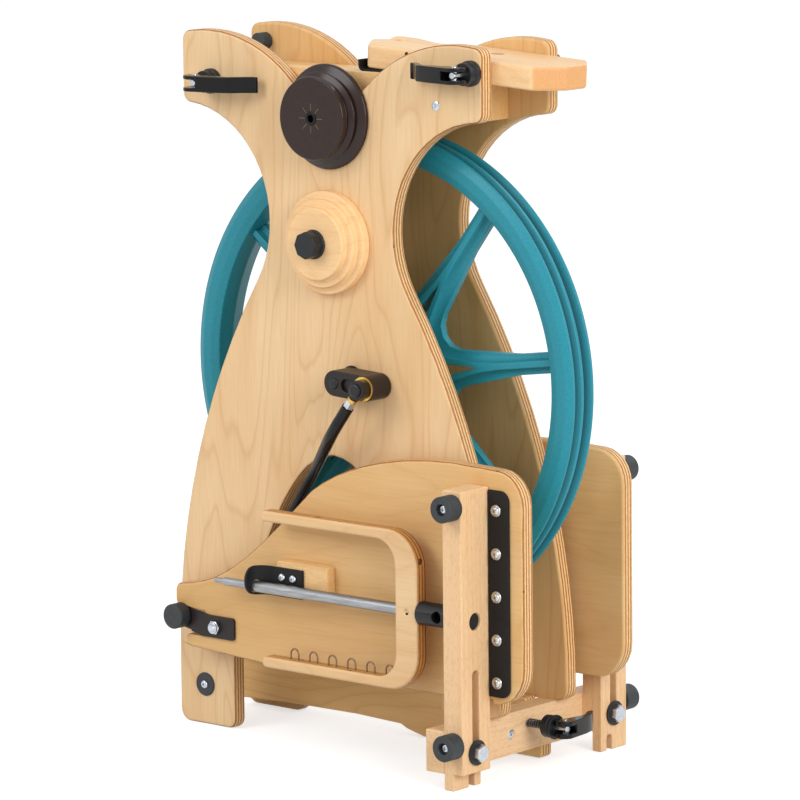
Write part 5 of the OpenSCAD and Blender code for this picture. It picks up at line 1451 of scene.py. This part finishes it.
coil = grown("clamp_spring", spring_tree(), Turns=8.0, Radius=3.2 * MM, Length=18.3 * MM,
             Wire=0.5 * MM, Material=dark_steel)
coil.transform(facing(spot(CLAMP_X + 0.55, 0, CLAMP_Z), (1, 0, 0)) @ Matrix.Scale(1 / MM, 4))
settle("clamp_spring", coil, dark_steel, "clamp_spring")
print("spring of 8 turns")

# %% [markdown]
# A round plug closes a hole in the top of the holder. It shows end grain, which takes more
# lacquer and so looks darker than the board round it.

# %% Holder plug
# End-grain maple: an even brown without flames
plug_wood = plain("end_grain_plug", "#cf9a5f", "#b57c42", 0.8, 0.8, 0.1, Roughness=0.5,
                  Specular_IOR_Level=0.3)
lean = math.radians(3.23)
plug_place = facing(spot(132, 5, 573.47), (math.sin(lean), 0, math.cos(lean)))
plug = lathed("plug", eased([[0, -1], [5.5, -1], [5.5, 0.12], [0, 0.12]], 0.1, 2), plug_place, 40)
settle("holder_plug", plug, plug_wood, "flyer_holder", [])
print("the plug is 11 mm across")

# %% [markdown]
# The light is that of a white studio: a bright even room, a floor that keeps the shadow, and
# three softboxes. The one at the right is the strongest, because the faces towards +X are the
# brightest in the photograph.

# %% Studio
def studio():
    """A white floor that keeps the shadow, a white world, and three softboxes."""
    scene = bpy.context.scene
    scene.view_settings.view_transform = "Standard"
    world = bpy.data.worlds.new("white_room")
    scene.world = world
    world.use_nodes = True
    tree = world.node_tree
    tree.nodes.clear()
    path = add(tree, "ShaderNodeLightPath")
    seen = add(tree, "ShaderNodeMath", {0: path.outputs["Is Camera Ray"],
                                        1: path.outputs["Is Glossy Ray"]}, operation="MAXIMUM")
    through = add(tree, "ShaderNodeMath", {0: seen.outputs[0],
                                           1: path.outputs["Is Transmission Ray"]},
                  operation="MAXIMUM")
    level = add(tree, "ShaderNodeMapRange", {"Value": through.outputs[0], "To Min": 0.66,
                                             "To Max": 1.0})
    white = add(tree, "ShaderNodeBackground", {"Color": (1, 1, 1, 1),
                                               "Strength": level.outputs[0]})
    add(tree, "ShaderNodeOutputWorld", {"Surface": white.outputs[0]})

    material = bpy.data.materials.new("white_studio_floor")
    material.use_nodes = True
    tree = material.node_tree
    tree.nodes.clear()
    path = add(tree, "ShaderNodeLightPath")
    matt = add(tree, "ShaderNodeBsdfDiffuse", {"Color": (0.62, 0.62, 0.62, 1)})
    glow = add(tree, "ShaderNodeEmission", {"Color": (1, 1, 1, 1)})
    seen = add(tree, "ShaderNodeMath", {0: path.outputs["Is Camera Ray"],
                                        1: path.outputs["Is Glossy Ray"]}, operation="MAXIMUM")
    strength = add(tree, "ShaderNodeMath", {0: seen.outputs[0], 1: 0.62}, operation="MULTIPLY")
    tree.links.new(strength.outputs[0], glow.inputs["Strength"])
    both = add(tree, "ShaderNodeAddShader", {0: matt.outputs[0], 1: glow.outputs[0]})
    add(tree, "ShaderNodeOutputMaterial", {"Surface": both.outputs[0]})
    ground_mesh = bpy.data.meshes.new("floor")
    reach = 25
    ground_mesh.from_pydata([(-reach, -reach, 0), (reach, -reach, 0), (reach, reach, 0),
                             (-reach, reach, 0)], [], [(0, 1, 2, 3)])
    ground_mesh.materials.append(material)
    loose("floor", ground_mesh)

    middle = Vector((0, 0, 0.3))
    for name, place, size, power in (("key", (-1.1, -2.6, 2.0), 1.6, 36),
                                     ("side", (2.9, -0.9, 1.5), 1.6, 62),
                                     ("back", (0.6, 2.6, 2.2), 1.6, 14)):
        light = bpy.data.lights.new(name, "AREA")
        light.size, light.energy = size, power
        lamp = bpy.data.objects.new(name, light)
        bpy.context.collection.objects.link(lamp)
        lamp.matrix_world = (Matrix.Translation(place)
                             @ (middle - Vector(place)).to_track_quat("-Z", "Y").to_matrix()
                             .to_4x4())


studio()
print("lamps:", len(bpy.data.lights))
